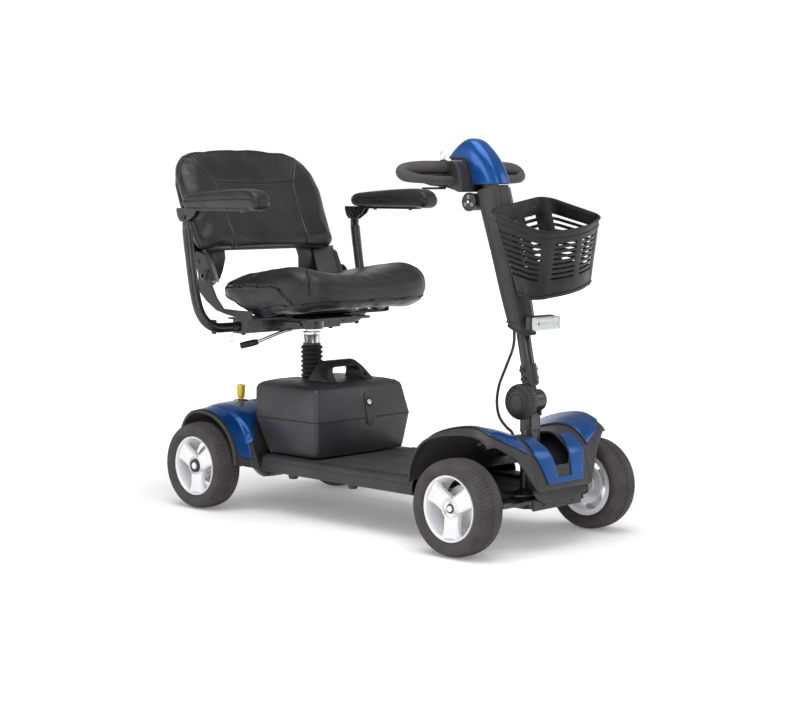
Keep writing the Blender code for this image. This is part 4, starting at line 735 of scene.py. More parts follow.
def cushion_shape():
    """A dished seat between two bolsters, with a fully rolled front and a side panel that leans in."""
    steps = 96
    outline = [cushion_outline(2 * math.pi * step / steps) for step in range(steps)]

    def top_at(x, y, share):
        front = max(0.0, (x + 0.2425) / 0.1985)
        dish = 0.026 * (1 - min(1.0, abs(y) / 0.185) ** 2.2) * (1 - 0.25 * front ** 4)
        return soft_height(CUSHION_TOP, x) - dish - 0.004 * share ** 8

    rows = []
    for share in (0.12, 0.3, 0.48, 0.64, 0.76, 0.84):
        rows.append([(-0.2425 + (x + 0.2425) * share, y * share, top_at(-0.2425 + (x + 0.2425) * share,
            y * share, share)) for x, y in outline])
    for turn in range(1, 15):
        angle = math.pi / 2 - math.pi * turn / 15
        row = []
        for x, y in outline:
            high, low = top_at(x, y, 1.0), soft_height(CUSHION_SKIRT, x)
            half = (high - low) / 2
            front = max(0.0, (x + 0.1) / 0.05)
            roll = min(half, 0.034 + 0.008 * min(1.0, front))
            inward = roll * (1 - math.cos(angle) ** 0.8)
            length = math.hypot(x + 0.2425, y)
            share = (length - inward) / length
            rise = math.copysign(abs(math.sin(angle)) ** 0.85, math.sin(angle))
            row.append((-0.2425 + (x + 0.2425) * share, y * share, (high + low) / 2 + half * rise))
        rows.append(row)
    rows.append([(-0.2425 + (x + 0.2425) * 0.74, y * 0.74, max(0.507, soft_height(CUSHION_SKIRT, x))) for x,
        y in outline])
    return skin("seat_cushion_fine", [[(x + DX, y, z) for x, y, z in row] for row in rows])


def build_cushion():
    """The seat, with the seams of its side panels and of its front corners."""
    pad = puffed(cushion_shape(), 0.006, 0.001, 0.006, 4.0, 0.0012)
    seams, corners = [], []
    for label, side in SIDES:
        panel = [at(x, side * 0.24, z) for x, z in ((-0.436, 0.559), (-0.4, 0.562), (-0.35, 0.565),
            (-0.29, 0.569), (-0.23, 0.572), (-0.185, 0.569), (-0.155, 0.557), (-0.132, 0.536),
            (-0.114, 0.514), (-0.104, 0.502))]
        seams.append(panel)
        corners.append([Vector(spot) for spot in ((-0.118 + DX, side * 0.17, 0.625),
            (-0.085 + DX, side * 0.192, 0.62), (-0.058 + DX, side * 0.214, 0.6), (-0.046 + DX, side * 0.226,
            0.575), (-0.044 + DX, side * 0.228, 0.545))])
        for vert in pad.data.vertices:
            x, z = vert.co.x - DX, vert.co.z
            if side * vert.co.y > 0.17 and x < -0.12 and z < 0.566:
                sink = min(1.0, (0.566 - z) / 0.012) * min(1.0, (-0.12 - x) / 0.03) * min(1.0,
                    (x + 0.445) / 0.03)
                vert.co.y -= side * 0.004 * max(0.0, sink)
    lower = []
    for step in range(96):
        x, y = cushion_outline(2 * math.pi * step / 96)
        lower.append(Vector((x + DX, y, soft_height(CUSHION_SKIRT, x) + 0.008)))
    for seam in seams + corners:
        press_seam(pad, dense(laid_on(pad, seam, 12)), 0.003, 0.0022, 0.0008)
    press_seam(pad, dense(laid_on(pad, lower + lower[:1], 1)), 0.0035, 0.0016, 0.0006)
    settle(pad, "vinyl", "seat_cushion")
    for label, panel, corner in zip(("left", "right"), seams, corners):
        stitch(f"side_welt_{label}", laid_on(pad, panel, 12, 0.0002), 0.0014, "seat", look="vinyl")
        stitch(f"corner_seam_{label}", laid_on(pad, corner, 12, 0.0001), 0.0006, "seat")
    stitch("cushion_welt", laid_on(pad, lower, 1, 0.0003), 0.0017, "seat", True, "vinyl")


def build_arm_pads():
    for label, side in SIDES:
        pad = puffed(node_copy(f"arm_pad_{label}"), 0.005, 0.0005, 0.003, 3.0, 0.0008)
        y = side * 0.287
        outline = [(-0.414, 0.77), (-0.36, 0.7715), (-0.29, 0.7745), (-0.22, 0.7765), (-0.175, 0.7765),
            (-0.15, 0.7745), (-0.136, 0.77)]
        for edge in (1, -1):
            seam = [at(x, y + edge * 0.029, z) for x, z in outline]
            press_seam(pad, dense(laid_on(pad, seam, 8)), 0.0028, 0.0016, 0.0005)
        settle(pad, "vinyl", f"arm_pad_{label}")
        for index, edge in enumerate((1, -1)):
            seam = [at(x, y + edge * 0.029, z) for x, z in outline]
            stitch(f"arm_seam_{label}_{index}", laid_on(pad, seam, 8, 0.0001), 0.0009, f"arm_rest_{label}")


build_back_pad()
build_cushion()
build_arm_pads()


# ---------------------------------------------------------------- body panels
def curve_at(values, spot):
    """Catmull-Rom value at a fractional place in a list of vectors."""
    last = len(values) - 1
    low = min(max(int(spot), 0), last - 1)
    t = spot - low
    b, c = values[low], values[low + 1]
    a = values[low - 1] if low > 0 else 2 * b - c
    d = values[low + 2] if low + 2 <= last else 2 * c - b
    return 0.5 * (
        (2 * b) + (c - a) * t + (2 * a - 5 * b + 4 * c - d) * t * t
        + (3 * b - a - 3 * c + d) * t ** 3
    )


class Hull:
    """A body surface through side profiles at stations across the scooter: (y, [(x, z), ...])."""

    def __init__(self, stations, core, soft):
        self.core, self.soft = Vector(core), soft
        self.levels = [y for y, _ in stations]
        self.rows = [[at(x, y, z) for x, z in profile] for y, profile in stations]
        self.known = {}

    def straight(self, along, y):
        if along not in self.known:
            self.known[along] = [curve_at(row, along) for row in self.rows]
        spots = self.known[along]
        y = min(max(y, 0.0), self.levels[-1])
        index = max(i for i, level in enumerate(self.levels[:-1]) if y >= level - 1e-9)
        low, high = self.levels[index], self.levels[index + 1]
        return spots[index].lerp(spots[index + 1], (y - low) / (high - low))

    def point(self, along, y):
        """The surface point, with the creases between stations rounded."""
        width = min(self.soft, self.levels[-1] - y)
        total = Vector((0, 0, 0))
        for step in (-1, -0.5, 0, 0.5, 1):
            spot = self.straight(along, abs(y + step * width))
            total += Vector((spot.x, y, spot.z))
        return total / 5

    def normal(self, along, y):
        reach = min(max(y, 0.002), self.levels[-1] - 0.004)
        a = self.point(along + 0.02, reach) - self.point(along - 0.02, reach)
        b = self.point(along, reach + 0.003) - self.point(along, reach - 0.0015)
        normal = a.cross(b).normalized()
        return normal if normal.dot(self.point(along, y) - self.core) > 0 else -normal

    def sheet(self, name, last, step, spacing):
        """The whole surface on both sides of the middle, as an open sheet."""
        count = round(self.levels[-1] / spacing)
        levels = [self.levels[-1] * index / count for index in range(-count, count + 1)]
        rows = []
        for number in range(round(last / step) + 1):
            spots = [self.point(number * step, abs(level)) for level in levels]
            rows.append([(spot.x, level, spot.z) for spot, level in zip(spots, levels)])
        return skin(name, rows, closed=False, cap=False, smooth=60)

    def panel(self, name, marks, edges, lift, side, across=14):
        """A panel on the surface; edges(along) gives its inner and outer y."""
        rows = []
        for along in marks:
            inner, outer = edges(along)
            row = []
            for index in range(across + 1):
                y = inner + (outer - inner) * index / across
                spot = self.point(along, y) + self.normal(along, y) * lift
                row.append((spot.x, side * spot.y, spot.z))
            rows.append(row)
        return skin(name, rows, closed=False, cap=False, smooth=60)


def lifted(obj, thickness, way=1.0):
    """Thickens an open sheet upwards, or downwards for a way of -1, whichever way its faces turn."""
    up = sum((face.normal.z * face.area for face in obj.data.polygons), 0.0)
    return thicken(obj, thickness, way if up > 0 else -way)


def pierced(obj, cutter):
    """A body panel with an opening cut through it."""
    boolean(apply_modifiers(obj), cutter)
    obj.data.shade_smooth()
    obj.data.set_sharp_from_angle(angle=math.radians(38))
    return obj


FRONT = Hull([(0.0, [(0.2465, 0.145), (0.3, 0.183), (0.35, 0.213), (0.4, 0.237), (0.445, 0.25),
    (0.482, 0.247), (0.526, 0.215), (0.546, 0.152), (0.548, 0.136)]), (0.06, [(0.2465, 0.145), (0.3, 0.184),
    (0.35, 0.214), (0.4, 0.238), (0.445, 0.251), (0.482, 0.248), (0.526, 0.216), (0.546, 0.152),
    (0.548, 0.136)]), (0.0925, [(0.2465, 0.145), (0.295, 0.189), (0.34, 0.222), (0.392, 0.246),
    (0.442, 0.257), (0.485, 0.25), (0.524, 0.216), (0.545, 0.152), (0.548, 0.136)]),
    (0.14, [(0.2465, 0.145), (0.28, 0.198), (0.325, 0.236), (0.382, 0.26), (0.44, 0.271), (0.488, 0.262),
    (0.513, 0.24), (0.524, 0.222), (0.527, 0.212)]), (0.187, [(0.248, 0.142), (0.27, 0.202), (0.308, 0.246),
    (0.37, 0.271), (0.439, 0.281), (0.478, 0.27), (0.4965, 0.256), (0.503, 0.248), (0.505, 0.243)]),
    (0.203, [(0.254, 0.14), (0.265, 0.188), (0.296, 0.233), (0.35, 0.256), (0.43, 0.265), (0.472, 0.26),
    (0.49, 0.25), (0.496, 0.244), (0.498, 0.24)]),], (0.4 + DX, 0.08, 0.1), 0.006)
REAR = Hull([(0.0, [(-0.3275, 0.145), (-0.333, 0.19), (-0.342, 0.226), (-0.366, 0.246), (-0.41, 0.257),
    (-0.455, 0.258), (-0.494, 0.243), (-0.512, 0.205), (-0.516, 0.15)]),
    (0.1, [(-0.3275, 0.145), (-0.333, 0.19), (-0.342, 0.225), (-0.366, 0.244), (-0.41, 0.255),
    (-0.455, 0.256), (-0.493, 0.242), (-0.511, 0.205), (-0.515, 0.15)]),
    (0.165, [(-0.3, 0.145), (-0.316, 0.19), (-0.333, 0.222), (-0.362, 0.241), (-0.406, 0.252),
    (-0.453, 0.253), (-0.49, 0.24), (-0.508, 0.205), (-0.512, 0.15)]),
    (0.1835, [(-0.276, 0.105), (-0.296, 0.15), (-0.319, 0.196), (-0.354, 0.23), (-0.402, 0.248),
    (-0.45, 0.25), (-0.486, 0.238), (-0.505, 0.205), (-0.509, 0.15)]),
    (0.19, [(-0.296, 0.11), (-0.307, 0.152), (-0.326, 0.192), (-0.358, 0.224), (-0.4, 0.243),
    (-0.445, 0.248), (-0.482, 0.2395), (-0.505, 0.222), (-0.519, 0.2)]),
    (0.23, [(-0.314, 0.12), (-0.324, 0.163), (-0.344, 0.195), (-0.372, 0.219), (-0.405, 0.235),
    (-0.445, 0.2415), (-0.482, 0.236), (-0.506, 0.217), (-0.52, 0.194)]),], (-0.42 + DX, 0.12, 0.1), 0.0025)


def edge_line(hull, marks, y, side, lift):
    """A line of points on a hull at a constant distance from the middle."""
    route = []
    for along in marks:
        spot = hull.point(along, y) + hull.normal(along, y) * lift
        route.append(Vector((spot.x, side * spot.y, spot.z)))
    return route


def fractions(first, last, count):
    return [first + (last - first) * index / (count - 1) for index in range(count)]


def build_front():
    shroud = lifted(FRONT.sheet("front_shroud_fine", 8, 0.16, 0.0058), 0.004, -1.0)
    keyhole = slab("keyhole", [(x + DX, y) for x, y in ((0.398, -0.038), (0.47, -0.042), (0.528, -0.034),
        (0.537, -0.0215), (0.537, 0.0215), (0.528, 0.034), (0.47, 0.042), (0.398, 0.038))], 0.18, 0.3, "XY")
    settle(pierced(shroud, keyhole), "grey_plastic", "front_shroud")
    for label, side in SIDES:
        lip = tube(f"fender_lip_{label}", edge_line(FRONT, fractions(0.05, 8, 60), 0.203, side, -0.0022),
            0.003, 1, 12)
        settle(lip, "grey_plastic", body="chassis")
        crease = tube(f"nose_ridge_{label}", edge_line(FRONT, fractions(4.6, 8, 40), 0.0925, side, -0.0008),
            0.0022, 1, 12)
        settle(crease, "grey_plastic", body="chassis")
        node = f"front_fender_panel_{label}"

        def sides_of(along):
            return (0.104 + 0.03 * max(0.0, (3.2 - along) / 2), 0.186 - 0.05 * max(0.0, (along - 5.3)))

        panel = lifted(FRONT.panel(node + "_fine", fractions(1, 6, 44), sides_of, 0.0012, side), 0.0022)
        settle(bevel(panel, 0.0008), "blue_gloss", node)
        marks = fractions(1, 6, 44)
        rim = []
        for along, edge in [(mark, 1) for mark in marks] + [(mark, 0) for mark in reversed(marks)]:
            rim += edge_line(FRONT, [along], sides_of(along)[edge], side, 0.0016)
        bead(node + "_edge", rim, 0.0016, "black_plastic", "chassis", closed=True)
    build_insert()
    build_liner()


def build_liner():
    """The dark inner moulding that closes the nose behind the U, and the tray below the fenders."""
    rows = []
    for along in fractions(2.6, 7.4, 30):
        row = []
        for index in range(-14, 15):
            y = 0.092 * index / 14
            spot = FRONT.point(along, abs(y))
            row.append((spot.x - 0.014, y, spot.z - 0.012 - 0.026 * (1 - (index / 14) ** 4)))
        rows.append(row)
    liner = thicken(skin("nose_liner", rows, closed=False, cap=False, smooth=60), 0.002)
    settle(liner, "black_plastic", body="chassis")
    outline = [(0.255, -0.158), (0.33, -0.14), (0.395, -0.128), (0.5, -0.112), (0.512, -0.08)]
    outline += [(x, -y) for x, y in reversed(outline)]
    tray = slab("nose_tray", [(x + DX, y) for x, y in outline], 0.1225, 0.1275, "XY")
    settle(bevel(tray, 0.0015, 2), "black_plastic", body="chassis")


def insert_sides(along):
    x = FRONT.point(along, 0.05).x - DX
    inner = 0.044 if x < 0.5 else 0.044 - 0.019 * (x - 0.5) / 0.041
    outer = 0.083 if x < 0.5259 else 0.0875 - 0.0285 * (x - 0.5259) / 0.021
    return inner, outer


def build_insert():
    """The blue U round the opening: two legs, and the web that joins them below it."""
    marks = fractions(5.15, 6.8, 30)
    bm = bmesh.new()

    def on_nose(along, y):
        spot = FRONT.point(along, abs(y)) + FRONT.normal(along, abs(y)) * 0.0009
        return (spot.x, y, spot.z)

    ends = []
    for side in (1, -1):
        grid = []
        for along in marks:
            inner, outer = insert_sides(along)
            grid.append([bm.verts.new(on_nose(along, side * (inner + (outer - inner) * step / 8)))
                for step in range(9)])
        for first, second in zip(grid, grid[1:]):
            for index in range(8):
                bm.faces.new((first[index], first[index + 1], second[index + 1], second[index]))
        ends.append(grid[-1])
    low_row = list(reversed(ends[0])) + ends[1]
    for along in (6.88, 6.97, 7.05):
        limit = insert_sides(6.8)[1] - 0.0006 - 0.012 * (along - 6.8)
        row = [bm.verts.new(on_nose(along, max(-limit, min(limit, vert.co.y)))) for vert in low_row]
        for index in range(len(row) - 1):
            bm.faces.new((low_row[index], low_row[index + 1], row[index + 1], row[index]))
        low_row = row
    insert = from_bmesh("front_u_insert_fine", bm, 60)
    settle(bevel(lifted(insert, 0.0024), 0.0008), "blue_gloss", "front_u_insert")


LEVER = at(-0.444, -0.1, 0.182)


def lever_slot():
    return block("slot", LEVER + Vector((-0.02, -0.0045, 0.01)), LEVER + Vector((0.02, 0.0045, 0.13)))


def build_rear():
    cover = lifted(REAR.sheet("rear_cover_fine", 8, 0.16, 0.0034), 0.0035, -1.0)
    settle(pierced(cover, lever_slot()), "grey_plastic", "rear_cover")
    for label, side in SIDES:
        node = f"rear_panel_{label}"

        def sides_of(along):
            inner = 0.088 + 0.101 * min(1.0, max(0.0, (2.7 - along) / 1.3)) ** 1.5
            return inner, 0.222 - 0.02 * max(0.0, 0.9 - along)

        panel = lifted(REAR.panel(node + "_fine", fractions(0.5, 6, 50), sides_of, 0.0014, side, 40),
            0.0022)
        if side < 0:
            pierced(panel, lever_slot())
        settle(bevel(panel, 0.0007), "blue_gloss", node)
        lip = tube(f"rear_lip_{label}", edge_line(REAR, fractions(0.0, 8, 60), 0.229, side, -0.001), 0.0045,
            1, 14, radii=[1.5, 1.2, 1, 1, 1, 1.1, 1.3, 1.4])
        settle(lip, "grey_plastic", body="chassis")
        ridge = tube(f"rear_ridge_{label}", edge_line(REAR, fractions(0.02, 3.2, 40), 0.1842, side,
            -0.0006), 0.003, 1, 12, radii=[1.4, 1.2, 1, 0.6])
        settle(ridge, "grey_plastic", body="chassis")
    outline = [(-0.0062, 0.0), (0.0062, 0.0), (0.007, 0.088), (0.0092, 0.106), (0.0098, 0.117),
        (0.006, 0.1215), (-0.006, 0.1215), (-0.0098, 0.117), (-0.0092, 0.106), (-0.007, 0.088)]
    lever = slab("blade", [(LEVER.x + x, LEVER.z - 0.006 + z) for x, z in outline], LEVER.y - 0.0036,
        LEVER.y + 0.0036)
    grip = slab("grip", [(LEVER.x + x, LEVER.z + z) for x, z in ((-0.0078, 0.083), (0.0078, 0.083),
        (0.0096, 0.1), (0.0106, 0.112), (0.01, 0.118), (-0.01, 0.118), (-0.0106, 0.112), (-0.0096, 0.1))],
        LEVER.y - 0.0068, LEVER.y + 0.0068)
    parts = [bevel(lever, 0.0018, 2), bevel(grip, 0.0026, 3)]
    settle(joined("freewheel_lever_fine", parts), "yellow_plastic", "freewheel_lever")
    frame_ring = [LEVER + Vector((x, y, 0)) for x, y in ((-0.021, -0.0055), (0.021, -0.0055),
        (0.021, 0.0055), (-0.021, 0.0055))]
    rim = []
    for first, last in zip(frame_ring, frame_ring[1:] + frame_ring[:1]):
        for step in range(4):
            spot = first.lerp(last, step / 4)
            along = 4 + (spot.x - DX + 0.41) / -0.045
            place = REAR.point(along, -spot.y) + REAR.normal(along, -spot.y) * 0.0036
            rim.append(Vector((spot.x, spot.y, place.z)))
    bead("lever_slot_edge", rim, 0.0018, "black_plastic", "chassis", 10, closed=True)


def build_deck():
    refine("deck_cover", "grey_plastic", 0.0025, 3)
    low_x, high_x, half, level = -0.08 + DX, 0.243 + DX, 0.164, 0.1445
    outline = [(-half, level), (-half, level + 0.002)]
    border, pitch = 0.01, 0.0046
    count = int((2 * (half - border)) / pitch)
    outline.append((-half + border, level + 0.002))
    for index in range(count):
        y = -half + border + (2 * (half - border)) * index / count
        outline += [(y + 0.0004, level + 0.0011), (y + 0.0012, level + 0.0011), (y + 0.0018, level + 0.002),
            (y + pitch - 0.0002, level + 0.002)]
    outline += [(half, level + 0.002), (half, level)]
    mat = slab("deck_mat_fine", [(y, z) for y, z in outline], low_x, high_x, "YZ", 30)
    settle(mat, "deck_rubber", "deck_mat")
    edge = [(low_x + 0.002, -half + 0.006), (high_x - 0.002, -half + 0.006), (high_x - 0.002, half - 0.006),
        (low_x + 0.002, half - 0.006)]
    route = [Vector((*first, level + 0.0022)).lerp(Vector((*last, level + 0.0022)), step / 12) for first,
        last in zip(edge, edge[1:] + edge[:1]) for step in range(12)]
    bead("deck_border", route, 0.0014, "deck_rubber", "chassis", closed=True)
    for label, side in SIDES:
        line = [at(x, side * 0.1808, 0.13) for x in fractions(-0.262, 0.236, 12)]
        bead(f"skirt_line_{label}", line, 0.0012, "grey_plastic", "chassis")
        for index, x in enumerate((-0.19, 0.02)):
            lump = turned(f"frame_lug_{label}_{index}", [(0, -0.01), (0.01, -0.01), (0.013, -0.004),
                (0.013, 0.004), (0, 0.004)], (x + DX, side * 0.15, 0.1005), "Z", 24, closed=False)
            settle(lump, "black_steel", body="chassis")


build_front()
build_rear()
build_deck()


# ---------------------------------------------------------------- battery box
def box_loop(rear, front, half, height):
    """A level ring of the box, with faceted corners and a notch behind for the seat post."""
    corner, steps = 0.017, 3
    depth, middle = (front - rear) / 2, (front + rear) / 2
    ring = []
    for turn, (sign_x, sign_y) in enumerate(((1, 1), (-1, 1), (-1, -1), (1, -1))):
        for step in range(steps + 1):
            angle = math.pi / 2 * (turn + step / steps)
            ring.append((middle + sign_x * (depth - corner) + corner * math.cos(angle),
                sign_y * (half - corner) + corner * math.sin(angle)))
    notch = max(-0.284 + 0.036, rear + 0.003)
    back = max(notch - 0.01, rear + 0.001)
    hollow = [(rear, 0.033), (back, 0.033)]
    for step in range(1, 6):
        angle = math.pi / 2 * step / 5
        hollow.append((back + (notch - back) * math.sin(angle), 0.02 + 0.013 * math.cos(angle)))
    hollow += [(x, -y) for x, y in reversed(hollow)]
    split = 2 * (steps + 1)
    return [at(x, y, height) for x, y in ring[:split] + hollow + ring[split:]]


def box_shell(name, rings, low):
    """A thin moulded half of the box, closed at its lower or its upper end."""
    rows = [box_loop(*ring) for ring in rings]
    bm = bmesh.new()
    grid = lofted(bm, rows)
    bm.faces.new(grid[0] if low else grid[-1])
    shell = from_bmesh(name, bm, 30)
    outward = sum((
        face.normal.z * face.area for face in shell.data.polygons
        if abs(face.center.z - (rows[0] if low else rows[-1])[0].z) < 1e-5
    ), 0.0)
    thicken(shell, 0.0028, -1 if (outward < 0) == low else 1)
    return apply_modifiers(shell)


def front_face(z):
    """How far forward the box's front face stands at a height."""
    if z > 0.2366:
        return DX - 0.0905 - 0.0145 * (z - 0.2378) / 0.0672
    return DX - 0.0903 - 0.0107 * (0.2354 - z) / 0.0754


def strip_plate(name, middle, half, low, high, lift):
    """A tall plate with round ends that follows the front face of the box."""
    rows = []
    for z in fractions(low, high, 41):
        reach = min(z - low, high - z)
        width = half if reach >= half else math.sqrt(max(0.0, half ** 2 - (half - reach) ** 2))
        width = max(width, 0.0012)
        rows.append([(front_face(z) + lift, middle + width * step / 6, z) for step in range(-6, 7)])
    sheet = skin(name, rows, closed=False, cap=False, smooth=50)
    return bevel(thicken(sheet, 0.0022, 0.0), 0.0007)


def build_battery():
    tray = box_shell("battery_tray_fine", [(-0.284, -0.1035, 0.15, 0.148), (-0.292, -0.101, 0.1535, 0.16),
        (-0.322, -0.0903, 0.1648, 0.2354)], True)
    cover = box_shell("battery_cover_fine", [(-0.322, -0.0905, 0.1646, 0.2378), (-0.334, -0.105, 0.153,
        0.305), (-0.3325, -0.1088, 0.149, 0.3128), (-0.327, -0.116, 0.141, 0.3185), (-0.316, -0.129, 0.125,
        0.3228), (-0.305, -0.14, 0.108, 0.3255)], False)
    strip_y = 0.02
    settle(bevel(tray, 0.0016, 3, 25), "case_plastic", "battery_tray")
    settle(bevel(cover, 0.0012, 3, 25), "case_plastic", "battery_cover")
    lean = math.radians(12.6)
    out = Vector((math.cos(lean), 0, math.sin(lean)))
    up = Vector((-math.sin(lean), 0, math.cos(lean)))
    seat = at(-0.0981, strip_y, 0.2735)
    groove = [seat + up * z + Vector((0, y, 0)) + out * -0.0012 for y, z in ((-0.0105, 0.006),
        (-0.0105, -0.014), (-0.0075, -0.0225), (0, -0.0262), (0.0075, -0.0225), (0.0105, -0.014),
        (0.0105, 0.006))]
    settle(tube("port_groove", groove, 0.0016, 6, 12), "black_plastic", body="battery_box")
    ring = turned("port_rim", [(0.0078, -0.004), (0.0112, -0.004), (0.0112, 0.002), (0.0102, 0.0034),
        (0.0086, 0.0034), (0.0078, 0.002)], (0, 0, 0), "Z", 48)
    plug = turned("charge_port_fine", [(0, -0.003), (0.0074, -0.003), (0.0074, 0.0008), (0.006, 0.0022),
        (0.0032, 0.0024), (0.0028, 0.001), (0, 0.001)], (0, 0, 0), "Z", 40, closed=False)
    turn = out.to_track_quat("Z", "Y").to_matrix().to_4x4()
    for piece in (ring, plug):
        piece.data.transform(Matrix.Translation(seat + out * 0.0006) @ turn)
    settle(strip_plate("port_strip", strip_y, 0.016, 0.215, 0.3005, 0.0002), "black_plastic",
        body="battery_box")
    settle(strip_plate("port_strip_face", strip_y, 0.0142, 0.2168, 0.2987, 0.0006), "case_plastic",
        body="battery_box")
    settle(ring, "black_plastic", body="battery_box")
    settle(plug, "chrome", "charge_port")
    seam = [Vector(point) for point in box_loop(-0.322, -0.0901, 0.1646, 0.2366)]
    bead("box_seam", seam, 0.001, "black_rubber", "battery_box", 6, closed=True)
    build_battery_handle()


def build_battery_handle():
    """A broad loop: the near leg spreads at its foot, and the far leg has a small hole."""
    side_view = [(-0.212, 0.3262), (-0.1425, 0.3262), (-0.149, 0.334), (-0.16, 0.353), (-0.1745, 0.369),
        (-0.183, 0.373), (-0.196, 0.3738), (-0.203, 0.369), (-0.2075, 0.352)]
    handle = slab("battery_handle_fine", [(x + DX, z) for x, z in side_view], -0.08, 0.08, "XZ")
    arch = [(-0.047, 0.32), (0.047, 0.32), (0.047, 0.344)]
    for step in range(1, 7):
        angle = math.pi / 2 * step / 6
        arch.append((0.047 - 0.015 * (1 - math.cos(angle)), 0.344 + 0.0145 * math.sin(angle)))
    arch += [(-y, z) for y, z in reversed(arch[2:])]
    cutters = [slab("arch", arch, -0.3, -0.1, "YZ")]
    for side in (1, -1):
        cutters.append(slab("slope", [(side * 0.0805, 0.318), (side * 0.079, 0.328), (side * 0.06, 0.358),
            (side * 0.048, 0.372), (side * 0.04, 0.38), (side * 0.12, 0.38), (side * 0.12, 0.318)], -0.3,
            -0.1, "YZ"))
    cutters.append(slab("hole", [(0.0535, 0.3335), (0.064, 0.3335), (0.0555, 0.347)], -0.3, -0.1, "YZ"))
    for cutter in cutters:
        boolean(handle, cutter)
    settle(bevel(handle, 0.003, 3, 28), "black_plastic", "battery_handle")


build_battery()


# ---------------------------------------------------------------- tiller
SHROUD = [  # middle x, middle z, half depth, half width, rise per metre towards the front
    (0.417, 0.483, 0.0255, 0.0265, -0.4), (0.412, 0.503, 0.0262, 0.027, 0.0),
    (0.3925, 0.575, 0.0285, 0.029, 0.24), (0.364, 0.675, 0.0305, 0.0305, 0.24),
    (0.338, 0.76, 0.0325, 0.031, 0.24), (0.3265, 0.801, 0.033, 0.03, 0.24)]


def shroud_loop(middle_x, middle_z, half_depth, half_width, rise, grow=0.0):
    ring = []
    for step in range(56):
        angle = 2 * math.pi * (step + 0.5) / 56
        across = math.copysign(abs(math.cos(angle)) ** 0.62, math.cos(angle)) * (half_depth + grow)
        aside = math.copysign(abs(math.sin(angle)) ** 0.62, math.sin(angle)) * (half_width + grow)
        ring.append(Vector((middle_x + DX + across, aside, middle_z + rise * across)))
    return ring


def shroud_at(share):
    """The shroud's station values at a place from its lower end, 0, to its upper end, 5."""
    stations = [Vector(values[:3]) for values in SHROUD]
    others = [Vector((*values[3:], 0)) for values in SHROUD]
    first, second = curve_at(stations, share), curve_at(others, share)
    return first.x, first.y, first.z, second.x, second.y


def build_shroud():
    rows = [shroud_loop(*shroud_at(share)) for share in fractions(0.0, 5.0, 61)]
    shell = skin("shell", rows, cap=False, smooth=50)
    thicken(shell, 0.003, -1 if shell.data.polygons[0].normal.dot(shell.data.polygons[0].center - at(0.417,
        0, 0.483)) > 0 else 1)
    parts = [shell]
    for share, grow in ((0.03, 0.0012), (0.92, 0.0006)):
        values = shroud_at(share)
        parts.append(tube("collar", shroud_loop(*values, grow), 0.0022, 1, 10, closed=True))
    parts.append(bevel(block("hook", (0.376 + DX, -0.02, 0.69), (0.4035 + DX, 0.02, 0.722)), 0.003, 3))
    parts.append(bevel(block("web", (0.283 + DX, -0.012, 0.756), (0.308 + DX, 0.012, 0.784)), 0.003, 3))
    parts.append(rod("socket_neck", (0.283 + DX, 0.012, 0.77), (0.283 + DX, -0.026, 0.77), 0.0195,
        sides=48))
    parts.append(block("stop", (0.36 + DX, -0.025, 0.6165), (0.399 + DX, 0.025, 0.622)))
    settle(joined("tiller_shroud_fine", parts, 45), "grey_plastic", "tiller_shroud")
    for label, side in SIDES:
        crease = []
        for share in fractions(0.25, 4.9, 40):
            x, z, depth, width, rise = shroud_at(share)
            across = depth * 0.78
            crease.append(Vector((x + DX + across, side * (width * 0.925), z + rise * across)))
        bead(f"shroud_crease_{label}", crease, 0.0013, "grey_plastic", "tiller")
        seam = []
        for share in fractions(0.0, 4.9, 40):
            x, z, depth, width, rise = shroud_at(share)
            across = -depth * 0.35
            seam.append(Vector((x + DX + across, side * (width * 0.9935), z + rise * across)))
        bead(f"shroud_seam_{label}", seam, 0.0008, "black_rubber", "tiller", 6)
    spot = at(0.283, -0.026, 0.77)
    face = [(0, 0), (0.0205, 0), (0.0213, 0.0015), (0.0213, 0.0075), (0.02, 0.009), (0.0176, 0.009),
        (0.0168, 0.0078), (0.006, 0.0078), (0.0056, 0.0092), (0, 0.0092)]
    disc = turned("socket_face", [(radius, -height) for radius, height in face], spot, "Y", 56,
        closed=False)
    settle(disc, "black_plastic", body="tiller")
    for index in range(3):
        angle = math.radians(90 + 120 * index)
        hole = turned(f"socket_pin_{index}", [(0.0026, -0.0074), (0.0036, -0.0074), (0.0036, -0.009),
            (0.0026, -0.009)], spot + Vector((0.0112 * math.cos(angle), 0, 0.0112 * math.sin(angle))), "Y",
            24)
        settle(hole, "chrome", body="tiller")
    pin = turned("socket_centre", [(0, -0.0088), (0.0034, -0.0088), (0.003, -0.0106), (0, -0.011)], spot,
        "Y", 24, closed=False)
    settle(pin, "silver_alloy", body="tiller")


CAP = [  # inner x, z; outer x, z; half width
    (0.295, 0.811, 0.3635, 0.8115, 0.0285), (0.29, 0.826, 0.3565, 0.83, 0.029),
    (0.2845, 0.842, 0.344, 0.852, 0.029), (0.28, 0.855, 0.329, 0.872, 0.0285),
    (0.274, 0.8665, 0.309, 0.8915, 0.028), (0.26, 0.869, 0.289, 0.9075, 0.027),
    (0.245, 0.871, 0.266, 0.9125, 0.025), (0.233, 0.8715, 0.245, 0.904, 0.023),
    (0.22, 0.8715, 0.226, 0.89, 0.02), (0.208, 0.8705, 0.211, 0.876, 0.016)]


